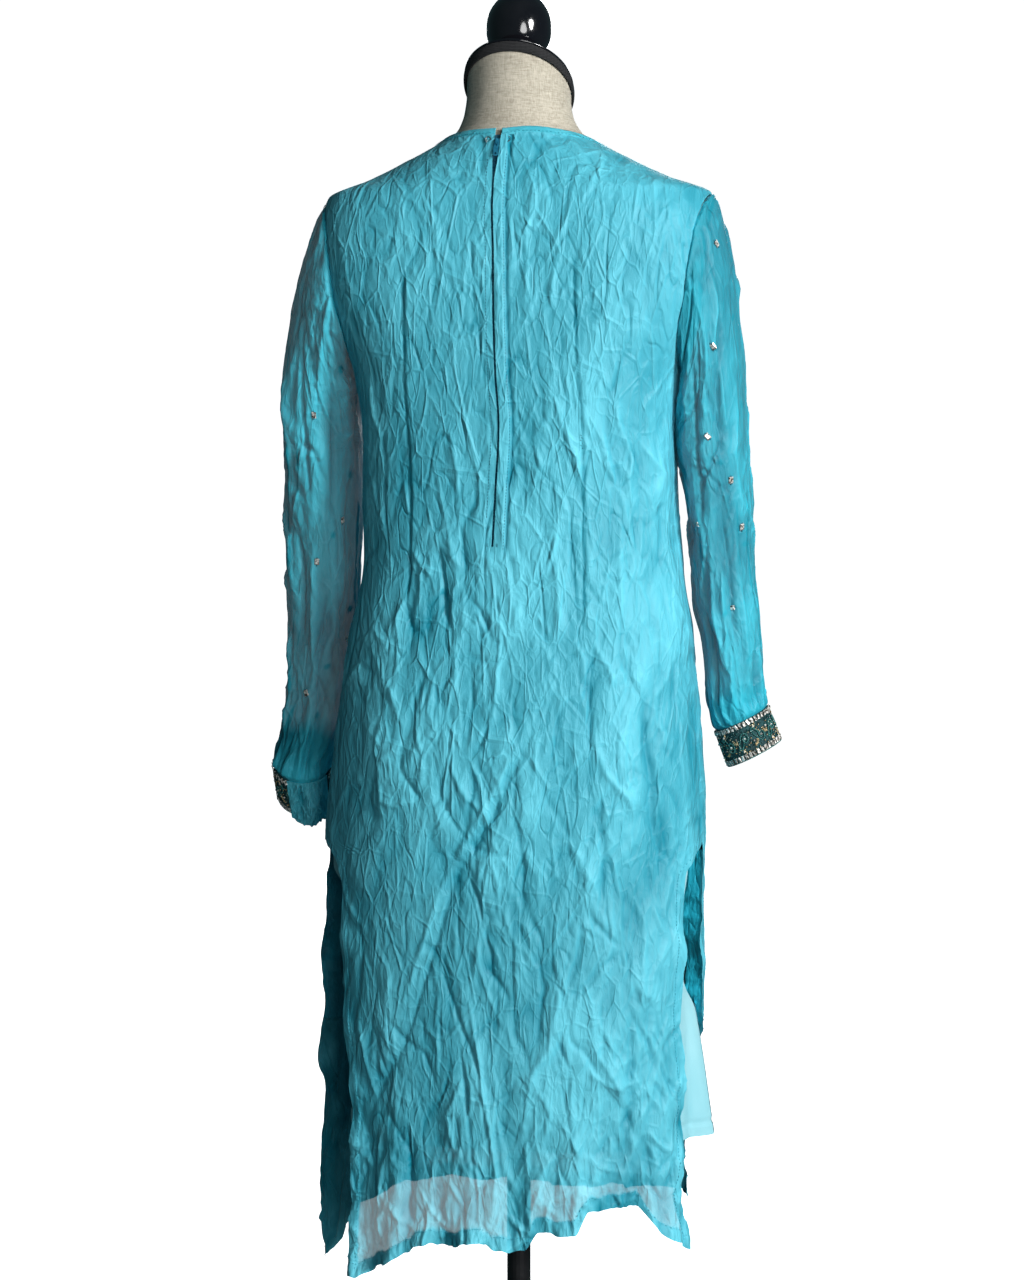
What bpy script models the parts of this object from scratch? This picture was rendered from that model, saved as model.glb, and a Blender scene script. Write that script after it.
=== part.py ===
"""A long sleeved kurti with a zip down its back, worn on a limbless dress form.

The wearer faces -Y, so the zip is on the +Y side and the wearer's left is +X. The origin is on the floor under the
middle of the base. Tables hold millimetres; the objects are made in metres.
"""

import math
from functools import lru_cache

import bmesh
import bpy
from mathutils import Matrix, Vector

MM = 0.001

# Driving sizes of the cloth, in millimetres
WALL = 1.2
SEAM = 0.7
NECK_POINT = 1418
SHOULDER_POINT = 1363
ARMPIT = 1176
SLIT_TOP = 700
HEM_ROW = 300
BINDING_WIDTH = 6
BINDING_WALL = 1.5
ZIP_END = 1004
ZIP_SLOT = 2.4
ZIP_SLOT_TOP = 6.6
ZIP_FLARE_START = 1374
ZIP_FLARE_FULL = 1398
ZIP_TAPE_WIDTH = 22
ZIP_TAPE_WALL = 0.8
CUFF_WIDTH = 38
CUFF_WALL = 1.6
LINING_HEM = 394
LINING_TOP = 666
LINING_WALL = 1.0
FACING_WIDTH = 12
FACING_WALL = 0.8
TOUCH = 0.4

# Driving sizes of the dress form, in millimetres
FORM_BOTTOM = 682
NECK_TOP = 1478
NECK_SLOPE = 0.6
NECK_SLOPE_START = 1432
TRIM_HEIGHT = 9
TRIM_WALL = 3
FINIAL_FOOT = 1499
FINIAL_TOP = 1571
FINIAL_RADIUS = 33.5
POLE_RADIUS = 12.5
BASE_RADIUS = 190
BASE_THICKNESS = 14

# Sections of the worn body from the hem to the top of the neck. The last three columns say how far the dress form
# lies inside the cloth at the sides, the back and the front.
BODY_COLUMNS = ("height", "shift", "half_width", "back", "front", "power", "loose_side", "loose_back", "loose_front")
BODY = (
    (230, 6, 213, 134, 130, 2.20, 30, 20, 20),
    (320, 6, 211, 132, 129, 2.20, 30, 20, 20),
    (446, 8, 206, 128, 126, 2.20, 30, 20, 20),
    (613, 8, 200, 123, 121, 2.20, 34, 16, 18),
    (697, 5, 199, 120, 119, 2.20, 30, 14, 14),
    (738, 3, 198, 119, 118, 2.20, 24, 11, 11),
    (801, 1, 193, 117, 117, 2.25, 19, 10, 10),
    (842, 0, 188, 113, 116, 2.25, 19, 10, 11),
    (905, -1, 180, 106, 114, 2.30, 23, 12, 14),
    (988, -2, 165, 97, 112, 2.35, 30, 16, 20),
    (1051, 0, 163, 96, 113, 2.40, 32, 20, 24),
    (1114, 0, 162, 98, 119, 2.50, 20, 14, 14),
    (1176, 0, 168, 101, 125, 2.70, 15, 7, 4),
    (1220, 0, 182, 101, 122, 3.00, 22, 4, 3),
    (1260, 0, 195, 100, 113, 3.30, 26, 3.4, 4),
    (1300, 0, 201, 98, 101, 3.40, 18, 3.4, 5),
    (1340, 0, 203, 94, 82, 3.00, 7, 4.4, 4.6),
    (1363, 0, 199, 90, 71, 2.50, 6.5, 4.8, 6.0),
    (1380, 0, 156, 86, 67, 2.30, 6.5, 4.8, 6.0),
    (1400, 0, 114, 80, 64, 2.20, 5.0, 4.4, 4.6),
    (1418, 0, 80, 72, 61, 2.10, 4.6, 4.2, 4.4),
    (1430, 0, 67, 66, 59, 2.00, 4.0, 4.0, 4),
    (1445, 0, 60, 61, 58, 2.00, 4.0, 4.0, 4),
    (1462, 0, 57.6, 59, 58, 2.00, 4.0, 4.0, 4),
    (1480, 0, 57.6, 59, 58, 2.00, 4.0, 4.0, 4),
)

# Where the panels' side edges run, as a share of the way round from the centre to the side: down the open slits,
# up the side seams, round the armholes and along the shoulder seams.
EDGE_COLUMNS = ("height", "back_left", "back_right", "front_left", "front_right")
EDGES = (
    (230, 0.56, 0.78, 0.955, 0.66),
    (300, 0.56, 0.785, 0.955, 0.66),
    (345, 0.565, 0.745, 0.955, 0.66),
    (400, 0.57, 0.78, 0.955, 0.70),
    (450, 0.58, 0.79, 0.957, 0.74),
    (490, 0.61, 0.785, 0.96, 0.84),
    (520, 0.64, 0.78, 0.963, 0.96),
    (545, 0.65, 0.785, 0.965, 0.99),
    (640, 0.67, 0.79, 0.975, 0.99),
    (672, 0.71, 0.80, 0.985, 0.99),
    (688, 0.80, 0.88, 0.995, 0.995),
    (SLIT_TOP, 1, 1, 1, 1),
    (ARMPIT, 1, 1, 1, 1),
    (1184, 0.92, 0.92, 0.91, 0.91),
    (1204, 0.82, 0.82, 0.80, 0.80),
    (1235, 0.765, 0.765, 0.74, 0.74),
    (1280, 0.745, 0.745, 0.71, 0.71),
    (1320, 0.77, 0.77, 0.74, 0.74),
    (1346, 0.84, 0.84, 0.82, 0.82),
    (1358, 0.92, 0.92, 0.91, 0.91),
    (SHOULDER_POINT, 1, 1, 1, 1),
    (1480, 1, 1, 1, 1),
)

# The height of each panel's hem from its right edge (-1) to its left edge (1), and below it the height of the
# neckline from the right shoulder seam to the left one
HEM_COLUMNS = ("across", "back", "front")
HEM = (
    (-1.00, 287, 300),
    (-0.92, 297, 302),
    (-0.83, 309, 304),
    (-0.75, 339, 304),
    (-0.50, 339, 298),
    (-0.42, 318, 297),
    (-0.25, 317, 295),
    (-0.17, 296, 294),
    (-0.05, 294, 294),
    (0.03, 302, 294),
    (0.25, 297, 295),
    (0.42, 295, 297),
    (0.58, 282, 292),
    (0.75, 265, 268),
    (0.90, 252, 232),
    (1.00, 248, 224),
)
NECK_COLUMNS = ("across", "back", "front")
NECK = (
    (-1.00, NECK_POINT, NECK_POINT),
    (-0.60, 1424, 1392),
    (-0.25, 1427, 1352),
    (0.00, 1425, 1340),
    (0.25, 1425, 1352),
    (0.60, 1423, 1392),
    (1.00, NECK_POINT, NECK_POINT),
)

# The zip's line down the back wanders a little to the wearer's left and back.
ZIP_COLUMNS = ("height", "x")
ZIP_LINE = ((ZIP_END, 7), (1060, 4), (1130, 0), (1180, 3), (1240, 5), (1300, 6), (1350, 8), (1425, 6))

# Large folds: how far each stands out (or in), how wide it is, and its run over the panel as (x, height) points
FOLDS_BACK = (
    (-5.0, 30, ((-65, 896), (-35, 815), (2, 737), (44, 664), (67, 585), (96, 498), (129, 438), (143, 399))),
    (3.5, 26, ((-88, 905), (-62, 830), (-30, 752), (10, 690), (30, 640))),
    (3.0, 26, ((46, 800), (24, 735), (28, 700), (40, 650))),
    (3.0, 28, ((-112, 800), (-110, 690), (-104, 600))),
    (-2.5, 24, ((-154, 790), (-150, 660), (-146, 540))),
    (3.5, 30, ((60, 560), (40, 480), (22, 400), (14, 330))),
    (2.5, 30, ((110, 900), (122, 760), (128, 640))),
    (-2.5, 24, ((-60, 600), (-66, 480), (-60, 380))),
    (3.0, 26, ((-120, 520), (-128, 420), (-120, 330))),
)
FOLDS_FRONT = (
    (-4.0, 32, ((60, 900), (20, 800), (-26, 690), (-70, 560), (-96, 450))),
    (3.5, 30, ((96, 860), (92, 700), (100, 540), (108, 380))),
    (-3.0, 26, ((-130, 880), (-124, 740), (-128, 600))),
    (3.0, 28, ((-10, 560), (-16, 440), (-8, 330))),
    (3.0, 26, ((40, 620), (52, 500), (48, 380))),
)
# Waves at the hem: where across the panel, how far out, how wide as a share, fading out above the fade height
WAVE_FADE = 470
WAVES = {
    "back": ((-0.86, 6, 0.10), (-0.62, -5, 0.11), (-0.40, 5, 0.10), (-0.12, -5, 0.10), (0.10, 5, 0.11),
             (0.36, -4, 0.12), (0.62, 5, 0.12), (0.86, -5, 0.10)),
    "front": ((-0.80, -4, 0.12), (-0.50, 5, 0.13), (-0.18, -4, 0.13), (0.14, 5, 0.13), (0.46, -4, 0.13),
              (0.78, 5, 0.12)),
}

# Sleeves: the middle of each section, its half sizes, and how far its plane tips outward and forward, in degrees
SLEEVE_COLUMNS = ("height", "x", "y", "half_width", "half_depth", "tip_out", "tip_forward")
SLEEVES = {
    "left": (
        (728, 250, -62, 30, 35, 14, 30),
        (765, 251, -52, 31, 37, 12, 28),
        (805, 240, -50, 32, 41, 10, 18),
        (845, 231, -52, 34, 43, 6, 8),
        (905, 226, -52, 36, 45, 3, 3),
        (988, 222, -47, 37, 48, 1, 2),
        (1051, 220, -38, 36, 52, 0, 0),
        (1100, 217, -26, 35, 55, -2, 0),
    ),
    "right": (
        (787, 240, -58, 30, 36, 27, 4),
        (823, 226, -60, 30, 38, 25, 4),
        (846, 220, -58, 28, 40, 15, 3),
        (872, 218, -55, 27, 43, 8, 2),
        (905, 216, -52, 28, 46, 3, 2),
        (946, 210, -48, 31, 48, 2, 2),
        (988, 206, -44, 31, 50, 2, 0),
        (1051, 203, -36, 31, 53, 2, 0),
        (1100, 198, -26, 33, 55, 0, 0),
    ),
}
SLEEVE_TOP = 1100
SLEEVE_HEADS = 6
SLEEVE_ROWS = {"left": 13, "right": 12}
SLEEVE_SIDES = 16
# Shallow lengthwise folds of a sleeve: turn round the sleeve in degrees, how far out, how wide in degrees
SLEEVE_FOLDS = ((20, 1.6, 16), (75, -1.8, 18), (130, 1.8, 16), (185, -1.4, 18), (240, 1.6, 18), (300, -1.8, 18))

# The plain turned end of each cuff: the turns between which it takes the place of the beaded band, in degrees
CUFF_PLAIN = {"left": (60, 160), "right": (196, 232)}
CUFF_PLAIN_DROP = {"left": 8, "right": 0}

COLORS = {
    "chiffon": ((0.075, 0.48, 0.62), 0.75, 0.0),
    "lining": ((0.10, 0.56, 0.70), 0.6, 0.0),
    "beadwork": ((0.012, 0.055, 0.055), 0.5, 0.2),
    "zip": ((0.010, 0.13, 0.30), 0.55, 0.0),
    "zip_metal": ((0.010, 0.17, 0.38), 0.35, 0.3),
    "wire": ((0.55, 0.53, 0.50), 0.3, 1.0),
    "linen": ((0.55, 0.50, 0.42), 0.9, 0.0),
    "braid": ((0.008, 0.008, 0.008), 0.85, 0.0),
    "gloss_black": ((0.006, 0.006, 0.008), 0.12, 0.0),
    "stand": ((0.02, 0.02, 0.022), 0.4, 0.6),
}


def smooth(columns, rows, name, at):
    """A named column's value at a place in the first column, on a smooth curve that never overshoots its rows."""
    k = columns.index(name)
    if at <= rows[0][0]:
        return rows[0][k]
    if at >= rows[-1][0]:
        return rows[-1][k]
    i = max(j for j in range(len(rows) - 1) if rows[j][0] <= at)

    def rate(j):
        return (rows[j + 1][k] - rows[j][k]) / (rows[j + 1][0] - rows[j][0])

    def slope(j):
        if j in (0, len(rows) - 1):
            return rate(min(j, len(rows) - 2))
        before, after = rate(j - 1), rate(j)
        return 2 * before * after / (before + after) if before * after > 0 else 0.0

    span = rows[i + 1][0] - rows[i][0]
    t = (at - rows[i][0]) / span
    rise = t * t * (3 - 2 * t)
    lead = t * (1 - t) * (1 - t) * span * slope(i)
    trail = t * t * (1 - t) * span * slope(i + 1)
    return rows[i][k] + rise * (rows[i + 1][k] - rows[i][k]) + lead - trail


def body(name, height):
    return smooth(BODY_COLUMNS, BODY, name, height)


def edge(name, height):
    return smooth(EDGE_COLUMNS, EDGES, name, height)


QUARTER_STEPS = 96
CORNER_PULL = 0.11
ROUND_POWER = 2.3
FORM_ROUNDING = 0.6


@lru_cache(maxsize=None)
def quarter(height, face, loose):
    """A quarter of the section at a height, from the centre of one face to the side: (length so far, x, y) steps."""
    a = body("half_width", height) - loose * body("loose_side", height)
    b = body(face, height) - loose * body("loose_" + face, height)
    n = body("power", height)
    n -= loose * FORM_ROUNDING * max(0.0, n - ROUND_POWER)
    steps = []
    length = 0.0
    for i in range(QUARTER_STEPS + 1):
        angle = math.radians(90 * i / QUARTER_STEPS)
        turn = angle - CORNER_PULL * math.sin(4 * angle)
        x = a * math.sin(turn) ** (2 / n)
        y = b * max(0.0, math.cos(turn)) ** (2 / n)
        if steps:
            length += math.hypot(x - steps[-1][1], y - steps[-1][2])
        steps.append((length, x, y))
    return steps, a, b, n


def on_body(face, side, share, height, away=0.0, past=0.0, loose=0):
    """A point of the body's surface in metres.

    share runs from the centre (0) to the side (1), past adds millimetres along the section and away moves the point
    out along the section's normal.
    """
    steps, a, b, n = quarter(round(height, 3), face, loose)
    run = min(max(share * steps[-1][0] + past, 0.0), steps[-1][0])
    i = next((j for j in range(1, len(steps)) if steps[j][0] >= run), len(steps) - 1)
    span = steps[i][0] - steps[i - 1][0]
    t = (run - steps[i - 1][0]) / span if span else 0.0
    x = steps[i - 1][1] + t * (steps[i][1] - steps[i - 1][1])
    y = steps[i - 1][2] + t * (steps[i][2] - steps[i - 1][2])
    nx = (x / a) ** (n - 1) / a
    ny = (y / b) ** (n - 1) / b
    length = math.hypot(nx, ny)
    facing = 1 if face == "back" else -1
    hand = 1 if side == "left" else -1
    x = body("shift", height) + hand * (x + away * nx / length)
    y = facing * (y + away * ny / length)
    return Vector((x, y, height)) * MM


def bump(distance, width):
    """A soft swell: 1 at its middle, 0 from its half width on."""
    t = abs(distance) / width
    return (1 - t * t) ** 2 if t < 1 else 0.0


def fold_height(folds, x, height):
    """How far the folds move the cloth at (x, height)."""
    total = 0.0
    for rise, width, run in folds:
        best = None
        for i in range(len(run) - 1):
            ax, az = run[i]
            bx, bz = run[i + 1]
            dx, dz = bx - ax, bz - az
            t = ((x - ax) * dx + (height - az) * dz) / (dx * dx + dz * dz)
            t = min(max(t, 0.0), 1.0)
            gap = math.hypot(x - ax - t * dx, height - az - t * dz)
            if best is None or gap < best[0]:
                best = (gap, (i + t) / (len(run) - 1))
        fade = min(1.0, 4 * best[1], 4 * (1 - best[1]))
        total += rise * bump(best[0], width) * max(fade, 0.0)
    return total


def cloth_away(face, across, x, height):
    """How far folds and hem waves move a panel out at one of its points."""
    away = fold_height(FOLDS_BACK if face == "back" else FOLDS_FRONT, x, height)
    fade = max(0.0, (WAVE_FADE - height) / (WAVE_FADE - HEM_ROW))
    for place, rise, width in WAVES[face]:
        away += rise * bump(across - place, width) * min(fade, 1.0)
    return away


def material(name):
    """A plain material with a part's colour, roughness and metallic value."""
    found = bpy.data.materials.get(name)
    if found:
        return found
    color, roughness, metallic = COLORS[name]
    made = bpy.data.materials.new(name)
    made.use_nodes = True
    shader = made.node_tree.nodes["Principled BSDF"]
    shader.inputs["Base Color"].default_value = (*color, 1)
    shader.inputs["Roughness"].default_value = roughness
    shader.inputs["Metallic"].default_value = metallic
    made.diffuse_color = (*color, 1)
    return made


def add(name, data, color, place=None):
    """An object for a mesh or a curve, in the part's collection."""
    made = bpy.data.objects.new(name, data)
    data.materials.append(material(color))
    (place or COLLECTION).objects.link(made)
    return made


def mesh_from(name, bm):
    bmesh.ops.recalc_face_normals(bm, faces=bm.faces)
    data = bpy.data.meshes.new(name)
    bm.to_mesh(data)
    bm.free()
    data.shade_smooth()
    return data


def grid_mesh(columns, rows, point, closed=False, keep=None, wrapped=False):
    """A grid of columns by rows whose corners are moved to point(column, row).

    closed joins the last column to the first, wrapped the last row to the first; keep(column, row) says which faces
    stay.
    """
    bm = bmesh.new()
    bmesh.ops.create_grid(bm, x_segments=columns, y_segments=rows, size=1.0)
    corners = {}
    for v in bm.verts:
        i = round((v.co.x + 1) / 2 * columns)
        j = round((v.co.y + 1) / 2 * rows)
        corners[v] = (i, j)
    if keep:
        faces = []
        for f in bm.faces:
            i = min(corners[v][0] for v in f.verts)
            j = min(corners[v][1] for v in f.verts)
            if not keep(i, j):
                faces.append(f)
        bmesh.ops.delete(bm, geom=faces, context="FACES")
    for v in bm.verts:
        i, j = corners[v]
        v.co = point(i % columns if closed else i, j % rows if wrapped else j)
    if closed or wrapped:
        bmesh.ops.remove_doubles(bm, verts=bm.verts, dist=1e-6)
    return bm


def shell(name, bm, wall, color, centre=Vector((0, 0, 0))):
    """A wall of cloth inside the given sheet or tube, whose outer side faces away from an upright line."""
    bm.normal_update()
    out = 0.0
    for f in bm.faces:
        middle = f.calc_center_median()
        out += f.normal.dot(Vector((middle.x - centre.x, middle.y - centre.y, 0))) * f.calc_area()
    if out < 0:
        bmesh.ops.reverse_faces(bm, faces=bm.faces)
    data = bpy.data.meshes.new(name)
    bm.to_mesh(data)
    bm.free()
    data.shade_smooth()
    made = add(name, data, color)
    solidify = made.modifiers.new("Wall", "SOLIDIFY")
    solidify.thickness = wall * MM
    solidify.offset = -1
    return made


# Rows of the panels by nominal height, closer together where the armhole and the shoulder turn
PANEL_HEIGHTS = (
    HEM_ROW, 332, 366, 402, 440, 480, 520, 560, 600, 640, 670, SLIT_TOP, 740, 780, 820, 860, 905, 950, ZIP_END,
    1050, 1095, 1138, ARMPIT, 1186, 1200, 1220, 1248, 1280, 1310, 1334, 1350, 1358, SHOULDER_POINT, 1374, 1386, 1399,
    NECK_POINT - BINDING_WIDTH - SEAM,
)
HEM_BLEND = 520
NECK_BLEND = 1200


def panel_height(face, across, row, inset=0.0):
    """The height of a panel's row at a place across it, between the hem and the neckline."""
    nominal = PANEL_HEIGHTS[row]
    hem = smooth(HEM_COLUMNS, HEM, face, across)
    top = smooth(NECK_COLUMNS, NECK, face, across) - inset
    if nominal < HEM_BLEND:
        share = (nominal - HEM_ROW) / (HEM_BLEND - HEM_ROW)
        return hem + share * (HEM_BLEND - hem)
    if nominal > NECK_BLEND:
        share = (nominal - NECK_BLEND) / (PANEL_HEIGHTS[-1] - NECK_BLEND)
        return NECK_BLEND + share * (top - NECK_BLEND)
    return nominal


def slot_half(height):
    """Half the width of the zip's slash at a height."""
    flare = (height - ZIP_FLARE_START) / (ZIP_FLARE_FULL - ZIP_FLARE_START)
    return ZIP_SLOT / 2 + (ZIP_SLOT_TOP - ZIP_SLOT) / 2 * min(max(flare, 0.0), 1.0)


def back_share(side, step, steps, height):
    """Share of the quarter section for a column of the back, counted from the slash to the side."""
    zip_x = smooth(ZIP_COLUMNS, ZIP_LINE, "x", height) - body("shift", height)
    hand = 1 if side == "left" else -1
    length = quarter(round(height, 3), "back", 0)[0][-1][0]
    start = hand * zip_x + slot_half(height)
    end = edge("back_" + side, height) * length - SEAM / 2
    return (start + (end - start) * step / steps) / length


BACK_COLUMNS = 12
FRONT_COLUMNS = 20


def back_point(i, j):
    """Column i of the back runs from the right edge to the slash and on to the left edge."""
    side = "right" if i <= BACK_COLUMNS else "left"
    step = BACK_COLUMNS - i if side == "right" else i - BACK_COLUMNS - 1
    across = (-1 if side == "right" else 1) * step / BACK_COLUMNS
    height = panel_height("back", across, j, BINDING_WIDTH + SEAM)
    share = back_share(side, step, BACK_COLUMNS, height)
    if share < 0:
        side = "left" if side == "right" else "right"
        share = -share
    flat = on_body("back", side, share, height)
    away = cloth_away("back", across, flat.x / MM, height)
    return on_body("back", side, share, height, away)


def make_back():
    """The back: one panel, slashed down its middle for the zip."""
    end_row = PANEL_HEIGHTS.index(ZIP_END)
    bm = grid_mesh(2 * BACK_COLUMNS + 1, len(PANEL_HEIGHTS) - 1, back_point,
                   keep=lambda i, j: i != BACK_COLUMNS or j < end_row)
    return shell("back", bm, WALL, "chiffon")


def front_share(across, height):
    """Share of the quarter section for a place across the front."""
    side = "left" if across >= 0 else "right"
    length = quarter(round(height, 3), "front", 0)[0][-1][0]
    return side, abs(across) * (edge("front_" + side, height) - SEAM / 2 / length)


def front_point(i, j):
    across = 2 * i / FRONT_COLUMNS - 1
    height = panel_height("front", across, j, BINDING_WIDTH + SEAM)
    side, share = front_share(across, height)
    flat = on_body("front", side, share, height)
    away = cloth_away("front", across, flat.x / MM, height)
    return on_body("front", side, share, height, away)


def make_front():
    """The front: one panel, whole from the neckline to the hem."""
    bm = grid_mesh(FRONT_COLUMNS, len(PANEL_HEIGHTS) - 1, front_point)
    return shell("front", bm, WALL, "chiffon")


def neck_point(face, across, below, away=0.0):
    """A point of the neckline, given millimetres below its top edge."""
    top = smooth(NECK_COLUMNS, NECK, face, across)
    height = top - below
    if face == "front":
        side, share = front_share(across, top - BINDING_WIDTH - SEAM)
    else:
        side = "left" if across >= 0 else "right"
        share = back_share(side, abs(across), 1, height)
    return on_body(face, side, share, height, away)


JUST_RIGHT = 0.0001
BINDING_LIFT = 0.2


def make_binding():
    """The strip that binds the neckline, open at the zip."""
    route = [("back", i / BACK_COLUMNS) for i in range(BACK_COLUMNS + 1)]
    route += [("front", 1 - 2 * i / FRONT_COLUMNS) for i in range(1, FRONT_COLUMNS)]
    route += [("back", -1 + i / BACK_COLUMNS) for i in range(BACK_COLUMNS)]
    route += [("back", -JUST_RIGHT)]
    bm = grid_mesh(len(route) - 1, 2,
                   lambda i, j: neck_point(route[i][0], route[i][1], BINDING_WIDTH * (1 - j / 2), BINDING_LIFT))
    return shell("neck_binding", bm, BINDING_WALL, "chiffon")


def sleeve_value(side, name, height):
    return smooth(SLEEVE_COLUMNS, SLEEVES[side], name, height)


def sleeve_ring(side, height, turn, away=0.0):
    """A point of a sleeve's section. A turn of 0 degrees is the outer side, 90 the back and 180 the inner side."""
    hand = 1 if side == "left" else -1
    radians = math.radians(turn)
    wide = sleeve_value(side, "half_width", height) + away
    deep = sleeve_value(side, "half_depth", height) + away
    spot = Vector((wide * math.cos(radians), deep * math.sin(radians), 0))
    tip = Matrix.Rotation(math.radians(-sleeve_value(side, "tip_out", height)), 4, "Y")
    lean = Matrix.Rotation(math.radians(-sleeve_value(side, "tip_forward", height)), 4, "X")
    spot = lean @ (tip @ spot)
    middle = Vector((sleeve_value(side, "x", height), sleeve_value(side, "y", height), height))
    spot = middle + spot
    return Vector((hand * spot.x, spot.y, spot.z)) * MM


# How far inside the armhole the sleeve starts, and how its head leaves the armhole and comes to the arm
ARMHOLE_LOW = 0.8
ARMHOLE_HIGH = 1.0
ARMHOLE_GAP = 0.7
ARMHOLE_EVEN = 0.35
HEAD_OUT = (26, 62)
HEAD_DOWN = (18, 34)
HEAD_FALL = (70, 190)


def armhole_point(side, turn):
    """A point of the sleeve's upper edge, just inside the armhole. A turn of 0 is the shoulder, 180 the armpit."""
    turn = turn % 360
    face = "back" if turn <= 180 else "front"
    down = (turn if turn <= 180 else 360 - turn) / 180
    share = 0.5 - 0.5 * math.cos(math.pi * down)
    low, high = ARMPIT + ARMHOLE_LOW, SHOULDER_POINT - ARMHOLE_HIGH
    height = high + (low - high) * (ARMHOLE_EVEN * down + (1 - ARMHOLE_EVEN) * share)
    nominal = ARMPIT + (height - low) / (high - low) * (SHOULDER_POINT - ARMPIT)
    return on_body(face, side, edge(face + "_" + side, nominal), height, past=ARMHOLE_GAP)


def sleeve_point(side, i, j):
    """Row 0 is the armhole; the first rows are the sleeve's head and the rest run down the arm."""
    turn = 360 * i / SLEEVE_SIDES
    if j <= SLEEVE_HEADS:
        hand = 1 if side == "left" else -1
        upper = armhole_point(side, turn)
        lower = sleeve_ring(side, SLEEVE_TOP, turn)
        outer = 0.5 + 0.5 * math.cos(math.radians(turn))
        t = j / SLEEVE_HEADS
        leave = Vector((hand * (HEAD_OUT[0] + HEAD_OUT[1] * outer), 0, -HEAD_DOWN[0] - HEAD_DOWN[1] * outer)) * MM
        arrive = Vector((0, 0, -HEAD_FALL[0] - HEAD_FALL[1] * outer)) * MM
        lift = 2 * t ** 3 - 3 * t ** 2
        return (upper * (1 + lift) + leave * (t ** 3 - 2 * t ** 2 + t)
                - lower * lift + arrive * (t ** 3 - t ** 2))
    rows = SLEEVE_ROWS[side]
    bottom = SLEEVES[side][1][0]
    height = SLEEVE_TOP + (bottom - SLEEVE_TOP) * (j - SLEEVE_HEADS) / rows
    fade = min(1.0, (SLEEVE_TOP - height) / 80, (height - bottom) / 60)
    away = sum(rise * bump((turn - place + 180) % 360 - 180, width) for place, rise, width in SLEEVE_FOLDS)
    return sleeve_ring(side, height, turn, away * max(fade, 0.0))


def make_sleeve(side):
    """A long set-in sleeve, open at the armhole and at the wrist."""
    rows = SLEEVE_HEADS + SLEEVE_ROWS[side]
    bm = grid_mesh(SLEEVE_SIDES, rows, lambda i, j: sleeve_point(side, i, j), closed=True)
    return shell("sleeve_" + side, bm, WALL, "chiffon", sleeve_ring(side, SLEEVE_TOP, 0).lerp(
        sleeve_ring(side, SLEEVE_TOP, 180), 0.5))


CUFF_GAP = 0.5
CUFF_REACH = 5
CUFF_JOINT = 2.4
CUFF_STEPS = 18
PLAIN_STEPS = 7
CUFF_TUCK = 0.3


def cuff_point(side, turn, down, away=0.0):
    """A point of the wrist band, given millimetres below its upper edge."""
    bottom, top = SLEEVES[side][0][0], SLEEVES[side][1][0]
    height = top - CUFF_GAP - down * (top - bottom) / CUFF_WIDTH
    if height >= bottom:
        return sleeve_ring(side, height, turn, away)
    edge_point = sleeve_ring(side, bottom, turn, away)
    above = sleeve_ring(side, bottom + CUFF_REACH, turn, away)
    return edge_point + (edge_point - above) * (bottom - height) / CUFF_REACH


def make_cuff(side):
    """The beaded wrist band and its plain turned end."""
    start, end = CUFF_PLAIN[side]
    span = 360 - (end - start) - 2 * CUFF_JOINT

    def band(i, j):
        turn = end + CUFF_JOINT + span * i / CUFF_STEPS
        return cuff_point(side, turn, CUFF_TUCK + (CUFF_WIDTH - CUFF_TUCK) * (1 - j / 3))

    def plain(i, j):
        turn = start + (end - start) * i / PLAIN_STEPS
        down = (CUFF_WIDTH + CUFF_PLAIN_DROP[side]) * (1 - j / 3)
        return cuff_point(side, turn, CUFF_TUCK + down, 0.6 * math.sin(math.pi * i / PLAIN_STEPS))

    middle = sleeve_ring(side, SLEEVES[side][0][0], 0).lerp(sleeve_ring(side, SLEEVES[side][0][0], 180), 0.5)
    shell("cuff_" + side, grid_mesh(CUFF_STEPS, 3, band), CUFF_WALL, "beadwork", middle)
    shell("cuff_turning_" + side, grid_mesh(PLAIN_STEPS, 3, plain), CUFF_WALL, "chiffon", middle)


LINING_HEIGHTS = (LINING_HEM, 420, 450, 490, 530, 565, 600, 630, 652, LINING_TOP)
LINING_STEPS = 24
LINING_COLUMNS = ("height", "inset")
LINING_INSETS = ((LINING_HEM, 13), (520, 12), (590, 9), (640, 5), (LINING_TOP, 2.8))
LINING_BLEND = 545
KICK_TOP = 545
KICK_OUT = 20
KICK_SEAM = 1.6
KICK_BEND = 0.7
KICK_WIDTH = 0.1


def lining_point(face, i, j, columns):
    """The lining hangs inside the cloth, closed at the sides, and kicks out through the right slit at its hem."""
    across = 2 * i / columns - 1
    side = "left" if across >= 0 else "right"
    height = LINING_HEIGHTS[j]
    length = quarter(round(height, 3), face, 0)[0][-1][0]
    kick = max(0.0, 1 - (height - LINING_HEM) / (KICK_TOP - LINING_HEM)) ** KICK_BEND if side == "right" else 0.0
    share = abs(across) * (1 - (SEAM / 2 + KICK_SEAM * kick) / length)
    flat = on_body(face, side, share, height)
    follow = max(0.0, (height - LINING_BLEND) / (LINING_TOP - LINING_BLEND))
    away = follow * cloth_away(face, across, flat.x / MM, height)
    away -= smooth(LINING_COLUMNS, LINING_INSETS, "inset", height)
    return on_body(face, side, share, height, away + KICK_OUT * kick * bump(1 - share, KICK_WIDTH))


def make_lining(face):
    bm = grid_mesh(LINING_STEPS, len(LINING_HEIGHTS) - 1, lambda i, j: lining_point(face, i, j, LINING_STEPS))
    return shell("lining_" + face, bm, LINING_WALL, "lining")


FACING_ROWS = (5, 9)
FACING_EDGE = 0.6
FACING_GAP = 0.2


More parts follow.
